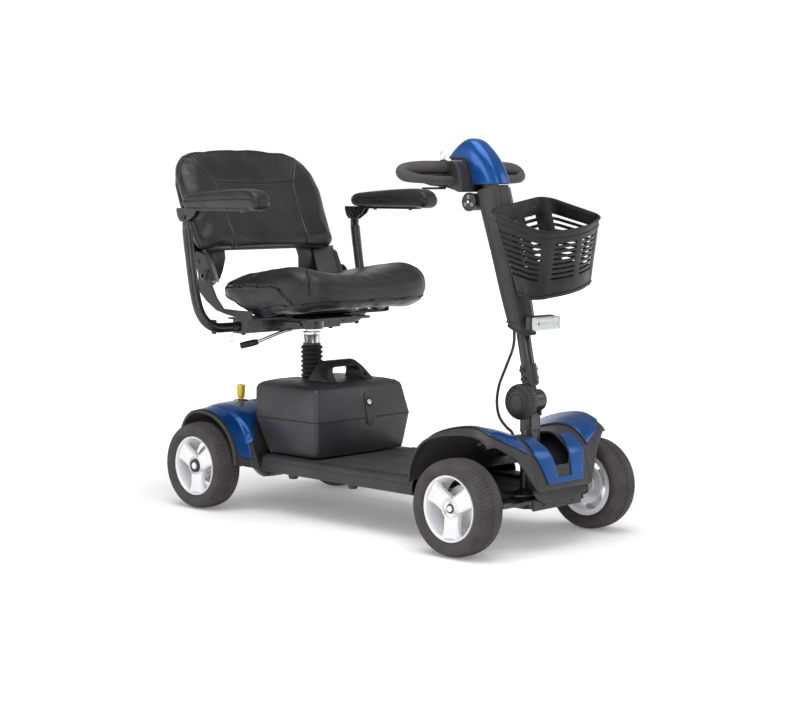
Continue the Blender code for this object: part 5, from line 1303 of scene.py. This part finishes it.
def cap_at(place, angle, lift=0.0):
    first = curve_at([Vector(values[:3]) for values in CAP], place)
    second = curve_at([Vector((*values[3:], 0)) for values in CAP], place)
    inner, outer, half = Vector((first.x, 0, first.y)), Vector((first.z, 0, second.x)), second.y
    rise = math.sin(angle) ** 0.55 if 0 < angle < math.pi else 0.0
    aside = math.copysign(abs(math.cos(angle)) ** 0.55, math.cos(angle)) * (half + lift)
    spot = inner + (outer - inner) * (rise + (lift / (outer - inner).length if rise else 0.0))
    return at(spot.x, aside, spot.z)


def build_cap():
    places, turns = fractions(0, 9, 73), [math.pi * step / 40 for step in range(41)]
    cap = skin("tiller_cap_fine", [[cap_at(place, angle) for angle in turns] for place in places],
        closed=False, cap=False, smooth=70)
    thicken(cap, 0.0025, 1)
    settle(bevel(cap, 0.0007), "blue_gloss", "tiller_cap")
    for label, angle in (("left", 0.0), ("right", math.pi)):
        edge = [cap_at(place, angle, 0.0012) for place in places]
        bead(f"cap_edge_{label}", edge, 0.0017, "black_plastic", "tiller", 10)
    front = [cap_at(0.0, angle, 0.0004) for angle in turns]
    bead("cap_front_edge", front, 0.0014, "black_plastic", "tiller", 10)
    for label, angle in (("left", 0.6), ("right", math.pi - 0.6)):
        crease = [cap_at(place, angle, 0.0002) for place in fractions(0.1, 7.5, 50)]
        bead(f"cap_crease_{label}", crease, 0.0011, "blue_gloss", "tiller")
    liner = []
    for place in fractions(0.15, 8.7, 40):
        ring = [cap_at(place, angle) for angle in turns]
        middle = (ring[0] + ring[-1]) / 2
        ring = [middle + (spot - middle) * 0.96 for spot in ring]
        drop = Vector((0, 0, -0.006 - 0.012 * max(0.0, 1 - place / 2.5)))
        liner.append([ring[0] + drop] + ring + [ring[-1] + drop])
    settle(skin("cap_liner", liner), "black_plastic", body="tiller")


def build_handlebar():
    side_view = [(0.278, 0.7925), (0.264, 0.7975), (0.24, 0.803), (0.19, 0.807), (0.162, 0.8135),
        (0.1575, 0.82), (0.16, 0.83), (0.181, 0.848), (0.202, 0.8635), (0.268, 0.8635), (0.276, 0.854),
        (0.283, 0.835), (0.289, 0.814), (0.289, 0.7925)]
    housing = slab("housing", [(x + DX, z) for x, z in side_view], -0.066, 0.066, "XZ")
    settle(bevel(housing, 0.0065, 5, 25), "grey_plastic", "handlebar", hides=False)
    for label, side in SIDES:
        route = [(0.236, 0.045), (0.238, 0.09), (0.236, 0.14), (0.231, 0.176), (0.2295, 0.1955),
            (0.24, 0.194), (0.256, 0.164), (0.262, 0.112), (0.257, 0.055)]
        heights = [0.8485, 0.8485, 0.848, 0.845, 0.839, 0.829, 0.8225, 0.82, 0.818]
        points = [(x + DX, side * y, z) for (x, y), z in zip(route, heights)]
        loop = tube(f"handle_loop_{label}", points, 0.015, 8, 28, radii=[0.95, 1, 1, 1, 1, 0.9, 0.66, 0.6,
            0.72])
        settle(loop, "grip_foam", "handlebar")
        inside = [(x + DX, side * y) for x, y in route]
        web = bevel(slab("web", inside, 0.829, 0.833, "XY"), 0.001)
        web.name = f"handle_web_{label}"
        settle(web, "black_plastic", body="tiller")
        cuff = turned(f"handle_cuff_{label}", [(0.0135, -0.005), (0.0178, -0.004), (0.0186, 0.0),
            (0.0178, 0.004), (0.0135, 0.005)], (0.237 + DX, side * 0.069, 0.8485), "Y", 36)
        settle(cuff, "grey_plastic", body="tiller")
    refine("dash_panel", "black_plastic", 0.0008)
    refine("horn_button", "yellow_plastic", 0.001, 3)
    dial = node_copy("speed_dial")
    settle(bevel(dial, 0.0014, 3, 40), "grey_plastic", "speed_dial")
    for label, side in SIDES:
        root = at(0.236, side * 0.0715, 0.8008)
        outline = [(-0.009, 0.0675), (0.009, 0.0675), (0.0104, 0.09), (0.01, 0.112), (0.005, 0.129),
            (-0.0015, 0.1345), (-0.008, 0.131), (-0.0105, 0.112), (-0.0104, 0.09)]
        lever = slab("lever", [(root.x + x, side * y) for x, y in outline], 0.7985, 0.8034, "XY")
        bevel(lever, 0.0016, 3)
        clamp = bevel(block("clamp", (root.x - 0.008, side * 0.0716 - 0.004, 0.799), (root.x + 0.008,
            side * 0.0716 + 0.004, 0.8085)), 0.002, 3)
        settle(joined(f"throttle_lever_{label}_fine", [lever, clamp]), "black_plastic",
            f"throttle_lever_{label}")
    spot = at(0.219, -0.052, 0.8643)
    stem = rod("stem", spot, spot + Vector((0, 0, 0.006)), 0.0048, 0.0042, 24)
    ring = tube("ring", [spot + Vector((0.0085 * math.cos(a), 0, 0.0125 + 0.0078 * math.sin(a)))
        for a in (2 * math.pi * k / 36 for k in range(36))], 0.0011, 1, 10, closed=True)
    settle(joined("key_fine", [bevel(stem, 0.0006), ring]), "chrome", "key")


def build_headlight():
    parts = [bevel(block("lamp_body", (0.461 + DX, -0.0415, 0.4842), (0.479 + DX, 0.0415, 0.5183)), 0.0045,
        4), bevel(block("lamp_neck", (0.4425 + DX, -0.0165, 0.4915), (0.464 + DX, 0.0165, 0.5145)), 0.003,
        3)]
    for index in range(6):
        x = 0.444 + DX + 0.0032 * index
        parts.append(bevel(block("rib", (x, -0.0178, 0.4902), (x + 0.0015, 0.0178, 0.5158)), 0.0005))
    settle(joined("headlight_housing_fine", parts), "black_plastic", "headlight_housing")
    back = bevel(block("lamp_mirror", (0.4798 + DX, -0.0385, 0.4885), (0.4835 + DX, 0.0395, 0.514)), 0.002,
        3)
    settle(back, "silver_alloy", body="tiller")
    for index, y in enumerate((-0.018, 0.004, 0.026)):
        bowl = turned(f"lamp_bowl_{index}", [(0.003, 0.0004), (0.0066, 0.003), (0.0094, 0.0072),
            (0.01, 0.008), (0.0104, 0.0072), (0.0072, 0.0024), (0.004, -0.0006)], (0.483 + DX, y, 0.5012),
            "X", 40)
        settle(bowl, "mirror", body="tiller")
        bulb = turned(f"lamp_bulb_{index}", [(0, 0), (0.0026, 0.0004), (0.0026, 0.0032), (0, 0.0048)],
            (0.4832 + DX, y, 0.5012), "X", 20, closed=False)
        settle(bulb, "cream_plastic", body="tiller")
    # The lens's brightness is partly painted reflection: its look is part diffuse near-white, besides the
    # reflector seen through it.
    lens = block("headlight_lens_fine", (0.4797 + DX, -0.0425, 0.4862), (0.4972 + DX, 0.0425, 0.5163))
    settle(bevel(lens, 0.0055, 5), "clear_lens", "headlight_lens")
    outline = [at(0.4798, y, z) for y, z in ((-0.042, 0.49), (-0.0385, 0.4865), (0.0385, 0.4865),
        (0.042, 0.49), (0.042, 0.5125), (0.0385, 0.516), (-0.0385, 0.516), (-0.042, 0.5125))]
    bead("lens_rim", outline, 0.0013, "grey_plastic", "tiller", closed=True)
    settle(bolt("lens_screw", (0.4965 + DX, -0.036, 0.5012), (1, 0, 0), 0.003, 0.0012, "tiller"),
        "black_plastic", body="tiller")


def build_knob():
    """The clamp knob: a domed cap with fine grooves and a coarse ribbed band."""
    profile = [(0.012, 0.0225, 0), (0.033, 0.0265, 0), (0.0385, 0.03, 0.6), (0.0404, 0.0335, 1),
        (0.0406, 0.04, 1), (0.0406, 0.046, 1), (0.0398, 0.05, 1), (0.0382, 0.0528, 0.8), (0.035, 0.0556,
        0.7), (0.03, 0.0578, 0.6), (0.023, 0.0592, 0.5), (0.015, 0.0597, 0.3), (0.006, 0.0598, 0)]
    count = 160
    rows = []
    for radius, out, share in profile:
        row = []
        for step in range(count):
            angle = 2 * math.pi * step / count
            reach = radius - (0.0011 * share if step % 4 < 2 else 0.0)
            row.append(TILT_HINGE + Vector((
                reach * math.cos(angle),
                -out + (0.0006 * share if step % 4 < 2 else 0),
                reach * math.sin(angle),
            )))
        rows.append(row)
    dome = skin("dome", rows, smooth=32)
    rings = []
    for radius, out in ((0.0345, 0.0563), (0.027, 0.0588), (0.019, 0.0598)):
        route = circle(TILT_HINGE - Vector((0, out, 0)), (1, 0, 0), (0, 0, 1), radius, 60)
        rings.append(tube("ring", route, 0.0009, 1, 8, closed=True))
    shank = rod("shank", TILT_HINGE + Vector((0, 0.0215, 0)), TILT_HINGE - Vector((0, 0.0235, 0)), 0.006)
    settle(joined("tilt_knob_fine", [dome, shank, *rings], 32), "black_plastic", "tilt_knob")


def build_tube():
    refine("tiller_tube", "black_steel", 0.0008)
    refine("steering_stem", "black_steel", 0.0012)
    up = Vector((-math.sin(TUBE_RAKE), 0, math.cos(TUBE_RAKE)))
    for index, height in enumerate((0.05, 0.07)):
        for label, side in SIDES:
            spot = TILT_HINGE + up * height + Vector((0, side * 0.024, 0))
            bolt(f"tube_bolt_{index}_{label}", spot, (0, side, 0), 0.0056, 0.004, "tiller")
    bolt("hinge_nut_left", TILT_HINGE + Vector((0, 0.0186, 0)), (0, 1, 0), 0.0105, 0.0055, "steering")


HARNESS = [(0.4055, -0.0195, 0.506), (0.4105, -0.0193, 0.479), (0.408, -0.02, 0.443), (0.389, -0.024,
    0.395), (0.374, -0.028, 0.356), (0.369, -0.03, 0.318), (0.374, -0.028, 0.285), (0.389, -0.023, 0.263),
    (0.406, -0.019, 0.248), (0.418, -0.026, 0.227)]


def build_harness():
    """The wiring lead between the shroud and the keyhole; it bends with the tiller's tilt."""
    lead = tube("wiring_harness_fine", [(x + DX, y, z) for x, y, z in HARNESS], 0.0034, 12, 16)
    blended(lead, "wiring_harness")


build_shroud()
build_cap()
build_handlebar()
build_headlight()
build_knob()
build_tube()
build_harness()


# ---------------------------------------------------------------- basket
BASKET_TURN = Euler((math.radians(9.0), math.radians(16.0), math.radians(5.0)), "XYZ").to_matrix().to_4x4()
BASKET_PLACE = Matrix.Translation((0.3965 + DX, 0.0, 0.767)) @ BASKET_TURN
BASKET_DEPTH, BASKET_HALF = 0.186, 0.107


def basket_loop(drop, grow=0.0):
    """A ring of the basket's wall at a share of its depth, and what each stretch of it belongs to."""
    rear, front = 0.095 * drop - grow, BASKET_DEPTH + 0.006 * drop + grow
    rear_half, front_half = BASKET_HALF - 0.012 * drop + grow, BASKET_HALF + 0.002 - 0.002 * drop + grow
    low_rear, low_front = -0.172 * drop, -0.152 * drop
    corner, bow = 0.034, 0.014
    edge = front - bow
    points, fields = [], []

    def arc(x, y, start, slotted):
        for step in range(8):
            angle = start + math.pi / 2 * step / 8
            points.append((x + corner * math.cos(angle), y + corner * math.sin(angle)))
            fields.append("side" if step in slotted else "corner")

    def wall(first, last, count, name):
        for step in range(count):
            share = step / count
            points.append((first[0] + (last[0] - first[0]) * share,
                first[1] + (last[1] - first[1]) * share))
            fields.append(name)

    arc(rear + corner, -rear_half + corner, math.pi, (5, 6, 7))
    wall((rear + corner, -rear_half), (edge - corner, -front_half), 8, "side")
    arc(edge - corner, -front_half + corner, 1.5 * math.pi, (0, 1, 2))
    count = 16
    for step in range(count):
        share = -1 + 2 * step / count
        points.append((edge + bow * (1 - share * share), share * (front_half - corner)))
        fields.append("front" if step not in (7, 8) else "plain")
    arc(edge - corner, front_half - corner, 0, (5, 6, 7))
    wall((edge - corner, front_half), (rear + corner, rear_half), 8, "side")
    arc(rear + corner, rear_half - corner, math.pi / 2, (0, 1, 2))
    for step in range(10):
        share = step / 10
        points.append((rear, (rear_half - corner) * (1 - 2 * share)))
        fields.append("rear" if step in (1, 2, 3, 6, 7, 8) else "plain")
    ring = []
    for x, y in points:
        share = (x - rear) / (front - rear)
        ring.append(BASKET_PLACE @ Vector((x, y, low_rear + (low_front - low_rear) * share)))
    return ring, fields


def build_basket():
    rows = 8
    drops, slotted = [0.0, 0.05, 0.12], []
    for row in range(rows):
        start = 0.185 + row * 0.0735
        drops += [start, start + 0.034]
        slotted.append(len(drops) - 2)
    drops += [0.86, 0.95, 0.985, 1.0]
    bm = bmesh.new()
    fields = basket_loop(0)[1]
    grid = [[bm.verts.new(point) for point in basket_loop(drop)[0]] for drop in drops]
    count = len(fields)
    for level, (first, second) in enumerate(zip(grid, grid[1:])):
        for index in range(count):
            if level in slotted and fields[index] in ("side", "front", "rear"):
                continue
            after = (index + 1) % count
            bm.faces.new((first[index], second[index], second[after], first[after]))
    floor = [vert.co.copy() for vert in grid[-1]]
    middle = sum(floor, Vector()) / count
    inner = [bm.verts.new(middle + (spot - middle) * 0.55) for spot in floor]
    for index in range(count):
        after = (index + 1) % count
        bm.faces.new((grid[-1][index], inner[index], inner[after], grid[-1][after]))
    bm.faces.new(inner)
    tub = from_bmesh("tub", bm, 40)
    outward = sum(face.normal.dot(face.center - middle) for face in tub.data.polygons)
    thicken(tub, 0.0026, -1 if outward > 0 else 1)
    bevel(tub, 0.0007, 2, 40)
    parts = [tub]
    parts.append(tube("rim_bead", basket_loop(0.0, 0.0004)[0], 0.0024, 1, 12, closed=True))
    parts.append(tube("rim_line", basket_loop(0.105, 0.0002)[0], 0.0013, 1, 8, closed=True))
    parts.append(tube("foot_line", basket_loop(0.955, 0.0004)[0], 0.0016, 1, 8, closed=True))
    for y in (-0.042, 0.042):
        low, high = Vector((-0.003, y - 0.009, -0.03)), Vector((0.006, y + 0.009, -0.006))
        clip = bevel(block("clip", low, high), 0.0015, 3)
        clip.data.transform(BASKET_PLACE)
        parts.append(clip)
    settle(joined("basket_fine", parts, 42), "basket_plastic", "basket")
    for index, (y, drop) in enumerate(((-0.06, 0.1), (0.06, 0.1), (-0.04, 0.17), (0.04, 0.17))):
        spot = BASKET_PLACE @ Vector((0.097 * drop + 0.0012, y, -0.172 * drop))
        bolt(f"basket_stud_{index}", spot, BASKET_TURN.to_3x3() @ Vector((1, 0, 0)), 0.0034, 0.0022,
            "basket")


build_basket()


# ---------------------------------------------------------------- post, arms and fixings
def build_bellows():
    """The ribbed sleeve on the seat post, which stretches as the seat goes up."""
    low, high, folds = 0.3225, 0.405, 7
    outer = []
    for step in range(folds * 12 + 1):
        wave = 0.5 - 0.5 * math.cos(2 * math.pi * step / 12)
        outer.append((0.0232 + 0.0052 * wave ** 0.7, high - (high - low) * step / (folds * 12)))
    outer[-1] = (0.0262, low)
    inner = [(0.0252, low), (0.0252, 0.3265), (0.0222, 0.327), (0.0222, high)]
    sleeve = turned("bellows_fine", outer + inner, (POST_X, 0, 0), "Z", 64, 60)
    blended(sleeve, "bellows")


def build_post():
    post = turned("seat_post_fine", [(0.0165, 0.15), (0.021, 0.15), (0.021, 0.4385), (0.02, 0.44),
        (0.016, 0.4402), (0.016, 0.462), (0.008, 0.462), (0.008, 0.425), (0.0165, 0.42)], (POST_X, 0, 0),
        "Z", 64)
    settle(post, "chrome", "seat_post")
    for index, (level, radius) in enumerate(((0.408, 0.0222), (0.4365, 0.0226))):
        ring = turned(f"post_ring_{index}", [(0.0205, -0.004), (radius, -0.003), (radius + 0.0008, 0),
            (radius, 0.003), (0.0205, 0.004)], (POST_X, 0, level), "Z", 56)
        settle(ring, "chrome" if index else "black_plastic", body="seat_post")


ARM_ROUTE = [(-0.374, 0.02, 0.4556), (-0.374, 0.11, 0.4556), (-0.374, 0.2, 0.4556), (-0.3745, 0.24, 0.458),
    (-0.377, 0.268, 0.473), (-0.383, 0.2835, 0.5), (-0.393, 0.2868, 0.535), (-0.404, 0.287, 0.585),
    (-0.415, 0.287, 0.65), (-0.4225, 0.287, 0.699)]


def arm_pivot(side):
    return Vector((ARM_PIVOT.x, side * ARM_PIVOT.y, ARM_PIVOT.z))


def build_arms():
    for label, side in SIDES:
        bar = tube("bar", [(x + DX, side * y, z) for x, y, z in ARM_ROUTE], 0.0125, 8, 32)
        y = side * 0.287
        ear = rod("ear", arm_pivot(side) - Vector((0, 0.005, 0)), arm_pivot(side) + Vector((0, 0.005, 0)),
            0.013, sides=40)
        web = block("web", (ARM_PIVOT.x - 0.0115, y - 0.005, 0.69), (ARM_PIVOT.x + 0.0115, y + 0.005,
            0.729))
        settle(joined(f"arm_tube_{label}_fine", [bar, bevel(ear, 0.0008), bevel(web, 0.0015, 2)]),
            "black_steel", f"arm_tube_{label}")
        refine(f"arm_bracket_{label}", "black_steel", 0.001, 2)
        body = f"arm_rest_{label}"
        for edge in (1, -1):
            bolt(f"arm_pivot_{label}_{edge + 1}", arm_pivot(side) + Vector((0, edge * 0.0098, 0)),
                (0, edge, 0), 0.007, 0.0042, body)
        for index, x in enumerate((-0.345, -0.215)):
            bolt(f"arm_screw_{label}_{index}", (x + DX, y, 0.7462), (0, 0, -1), 0.0046, 0.0034, body)
        arm = f"arm_{label}"
        spot = at(-0.374, side * 0.245, 0.46)
        bolt(f"bend_bolt_{label}", spot + Vector((0, 0, 0.0115)), (0, -side * 0.25, 1), 0.007, 0.0055, arm)
        bolt(f"bend_nut_{label}", spot - Vector((0, 0, 0.0125)), (0, side * 0.25, -1), 0.0065, 0.006, arm)
        spot = at(-0.374, side * 0.186, 0.4556)
        bolt(f"clamp_bolt_{label}", spot + Vector((0.012, 0, 0)), (1, 0, 0), 0.006, 0.0045, arm)
    ring = circle(at(-0.366, -0.196, 0.4285), (0, 1, 0), (0, 0, 1), 0.0085, 32)
    bead("hang_ring", ring, 0.001, "chrome", "arm_right", closed=True)


def leg_web(side):
    """The slanted face that joins the outer rail of the back shell to its leg."""
    rows = []
    for along in (-0.01, 0.01, 0.03, 0.05, 0.068):
        rows.append([back_frame(side * 0.172, along, -0.0275), back_frame(side * 0.172, along, -0.0235),
            back_frame(side * 0.216, along, 0.0085), back_frame(side * 0.22, along, 0.0085),
            back_frame(side * 0.22, along, -0.0275)])
    return settle(bevel(skin(f"leg_web_{side + 1}", rows), 0.002, 3), "black_plastic", body="backrest")


def build_seat_hardware():
    refine("seat_bracket", "black_steel", 0.0014, 2)
    refine("seat_pan", "black_plastic", 0.0012, 2)
    refine("back_shell", "black_plastic", 0.002, 3)
    for label, side in SIDES:
        leg_web(side)
        bolt(f"hinge_bolt_{label}", BACK_PIVOT + Vector((0, side * 0.2362, 0)), (0, side, 0), 0.0115,
            0.0058, "seat")
        washer = turned(f"hinge_washer_{label}", [(0.005, 0), (0.015, 0), (0.015, side * 0.0016),
            (0.005, side * 0.0016)], BACK_PIVOT + Vector((0, side * 0.2363, 0)), "Y", 40)
        settle(washer, "black_steel", body="seat")
        bolt(f"leg_bolt_{label}", back_frame(side * 0.2268, 0.046, -0.018), (0, side, 0), 0.0062, 0.0034,
            "backrest")
        for index, x in enumerate((-0.352, -0.216)):
            bolt(f"plate_bolt_{label}_{index}", (x + DX, side * 0.088, 0.4736), (0, 0, -1), 0.007, 0.005,
                "seat")
        bolt(f"tube_clamp_{label}", (-0.374 + DX, side * 0.15, 0.439), (0, 0, -1), 0.006, 0.0055, "seat")
    route = [at(x, y, z) for x, y, z in ((-0.322, -0.034, 0.444), (-0.33, -0.055, 0.44), (-0.345, -0.085,
        0.428), (-0.362, -0.115, 0.415), (-0.384, -0.152, 0.406))]
    stalk = tube("swivel_lever_rod", route[:4] + [route[3].lerp(route[4], 0.2)], 0.0042, 8, 20)
    settle(stalk, "chrome", "swivel_lever", hides=False)
    grip = tube("swivel_lever_fine", [route[3].lerp(route[4], share) for share in (-0.05, 0.25, 0.6, 1.0)],
        0.0085, 8, 28, radii=[0.82, 1.0, 1.0, 0.92])
    settle(bevel(grip, 0.0014, 3, 40), "black_rubber", "swivel_lever")


def build_front_hardware():
    refine("bumper_bar", "grey_plastic", 0.0015, 2)
    for index, y in enumerate((-0.05, 0.05)):
        bolt(f"bumper_bolt_{index}", (0.523 + DX, y, 0.1035), (1, 0, 0), 0.0042, 0.003, "chassis")
    axle = rod("axle_sheen", (0.482 + DX, -0.148, 0.108), (0.482 + DX, 0.148, 0.108), 0.0116, sides=40)
    settle(bevel(axle, 0.001), "black_steel", body="chassis")
    bracket = [bevel(block("plate", (0.47 + DX, -0.017, 0.176), (0.474 + DX, 0.017, 0.206)), 0.0012),
        bevel(block("foot", (0.47 + DX, -0.017, 0.176), (0.492 + DX, 0.017, 0.1795)), 0.0012)]
    settle(joined("nose_bracket", bracket), "silver_alloy", body="chassis")
    bolt("nose_bolt", (0.474 + DX, 0.0, 0.192), (1, 0, 0), 0.0065, 0.0055, "chassis", "brass")


build_bellows()
build_post()
build_arms()
build_seat_hardware()
build_front_hardware()


# ---------------------------------------------------------------- plain mechanical pieces
for node in frame["nodes"]:
    if node not in DONE:
        refine(node, SLOT_OF[node] if SLOT_OF[node] in LOOKS else "black_steel", 0.001)


# ---------------------------------------------------------------- carried-over nodes
def paint_carried():
    """Every CAD node gets its look, also those that finer pieces stand for."""
    for name, obj in frame["nodes"].items():
        look = LOOKS[SLOT_OF[name]]
        obj.data.materials.clear()
        obj.data.materials.append(look.made)


paint_carried()


# ---------------------------------------------------------------- floor, light and camera
def build_stage():
    """A pale floor and soft studio light from above, from the front and from the scooter's right."""
    floor = block("studio_floor", (-14, -14, -0.02), (14, 14, 0.0), None)
    paper = Look("floor", (0.9, 0.9, 0.9), 0.9, 0.0, 0.0, 0.5)
    paper.shader.inputs["Emission Color"].default_value = (1, 1, 1, 1)
    nodes, links = paper.made.node_tree.nodes, paper.made.node_tree.links
    away, glow = nodes.new("ShaderNodeVectorMath"), nodes.new("ShaderNodeMapRange")
    away.operation = "LENGTH"
    links.new(nodes.new("ShaderNodeNewGeometry").outputs["Position"], away.inputs[0])
    set_range(glow, 0.7, 3.2, 0.16, 0.95)
    links.new(away.outputs["Value"], glow.inputs["Value"])
    links.new(glow.outputs["Result"], paper.shader.inputs["Emission Strength"])
    floor.data.materials.append(paper.made)
    world = bpy.data.worlds.new("studio")
    world.use_nodes = True
    nodes, links = world.node_tree.nodes, world.node_tree.links
    split = nodes.new("ShaderNodeSeparateXYZ")
    links.new(nodes.new("ShaderNodeTexCoord").outputs["Generated"], split.inputs["Vector"])
    fade = nodes.new("ShaderNodeMapRange")
    set_range(fade, 0.12, 0.42, WORLD, CEILING)
    links.new(split.outputs["Z"], fade.inputs["Value"])
    links.new(fade.outputs["Result"], nodes["Background"].inputs["Strength"])
    nodes["Background"].inputs["Color"].default_value = (1, 1, 1, 1)
    bpy.context.scene.world = world
    middle = Vector((0, 0, 0.45))
    for name, place, size, power in LAMPS:
        lamp = bpy.data.lights.new(name, "AREA")
        lamp.shape, lamp.size, lamp.size_y, lamp.energy = "RECTANGLE", size[0], size[1], power
        obj = bpy.data.objects.new(name, lamp)
        obj.location = place
        obj.rotation_euler = (middle - Vector(place)).to_track_quat("-Z", "Y").to_euler()
        bpy.context.scene.collection.objects.link(obj)


WORLD, CEILING = 1.02, 0.42
LAMPS = [  # name, place, size, power
    ("overhead", (0.4, -0.6, 3.6), (3.0, 3.0), 100),
    ("front_right", (3.2, -2.2, 2.2), (1.6, 1.6), 26),
    ("right_low", (-1.6, -3.4, 1.4), (1.6, 1.0), 16),
    ("front_left", (2.6, 2.8, 2.4), (1.4, 1.4), 14),
]


def build_camera():
    turn, down = math.radians(44.427), math.radians(5.4974)
    camera = bpy.data.cameras.new("camera")
    camera.lens, camera.sensor_width, camera.sensor_fit = 80.76, 36, "HORIZONTAL"
    camera.clip_start, camera.clip_end = 0.05, 60
    obj = bpy.data.objects.new("camera", camera)
    forward = Vector((-math.sin(turn) * math.cos(down), math.cos(turn) * math.cos(down), -math.sin(down)))
    obj.location = (3.0877 + DX, -3.1059, 0.8095)
    obj.rotation_euler = forward.to_track_quat("-Z", "Y").to_euler()
    bpy.context.scene.collection.objects.link(obj)
    bpy.context.scene.camera = obj


build_stage()
build_camera()
bpy.context.scene.view_settings.view_transform = "Standard"
bpy.context.view_layer.update()
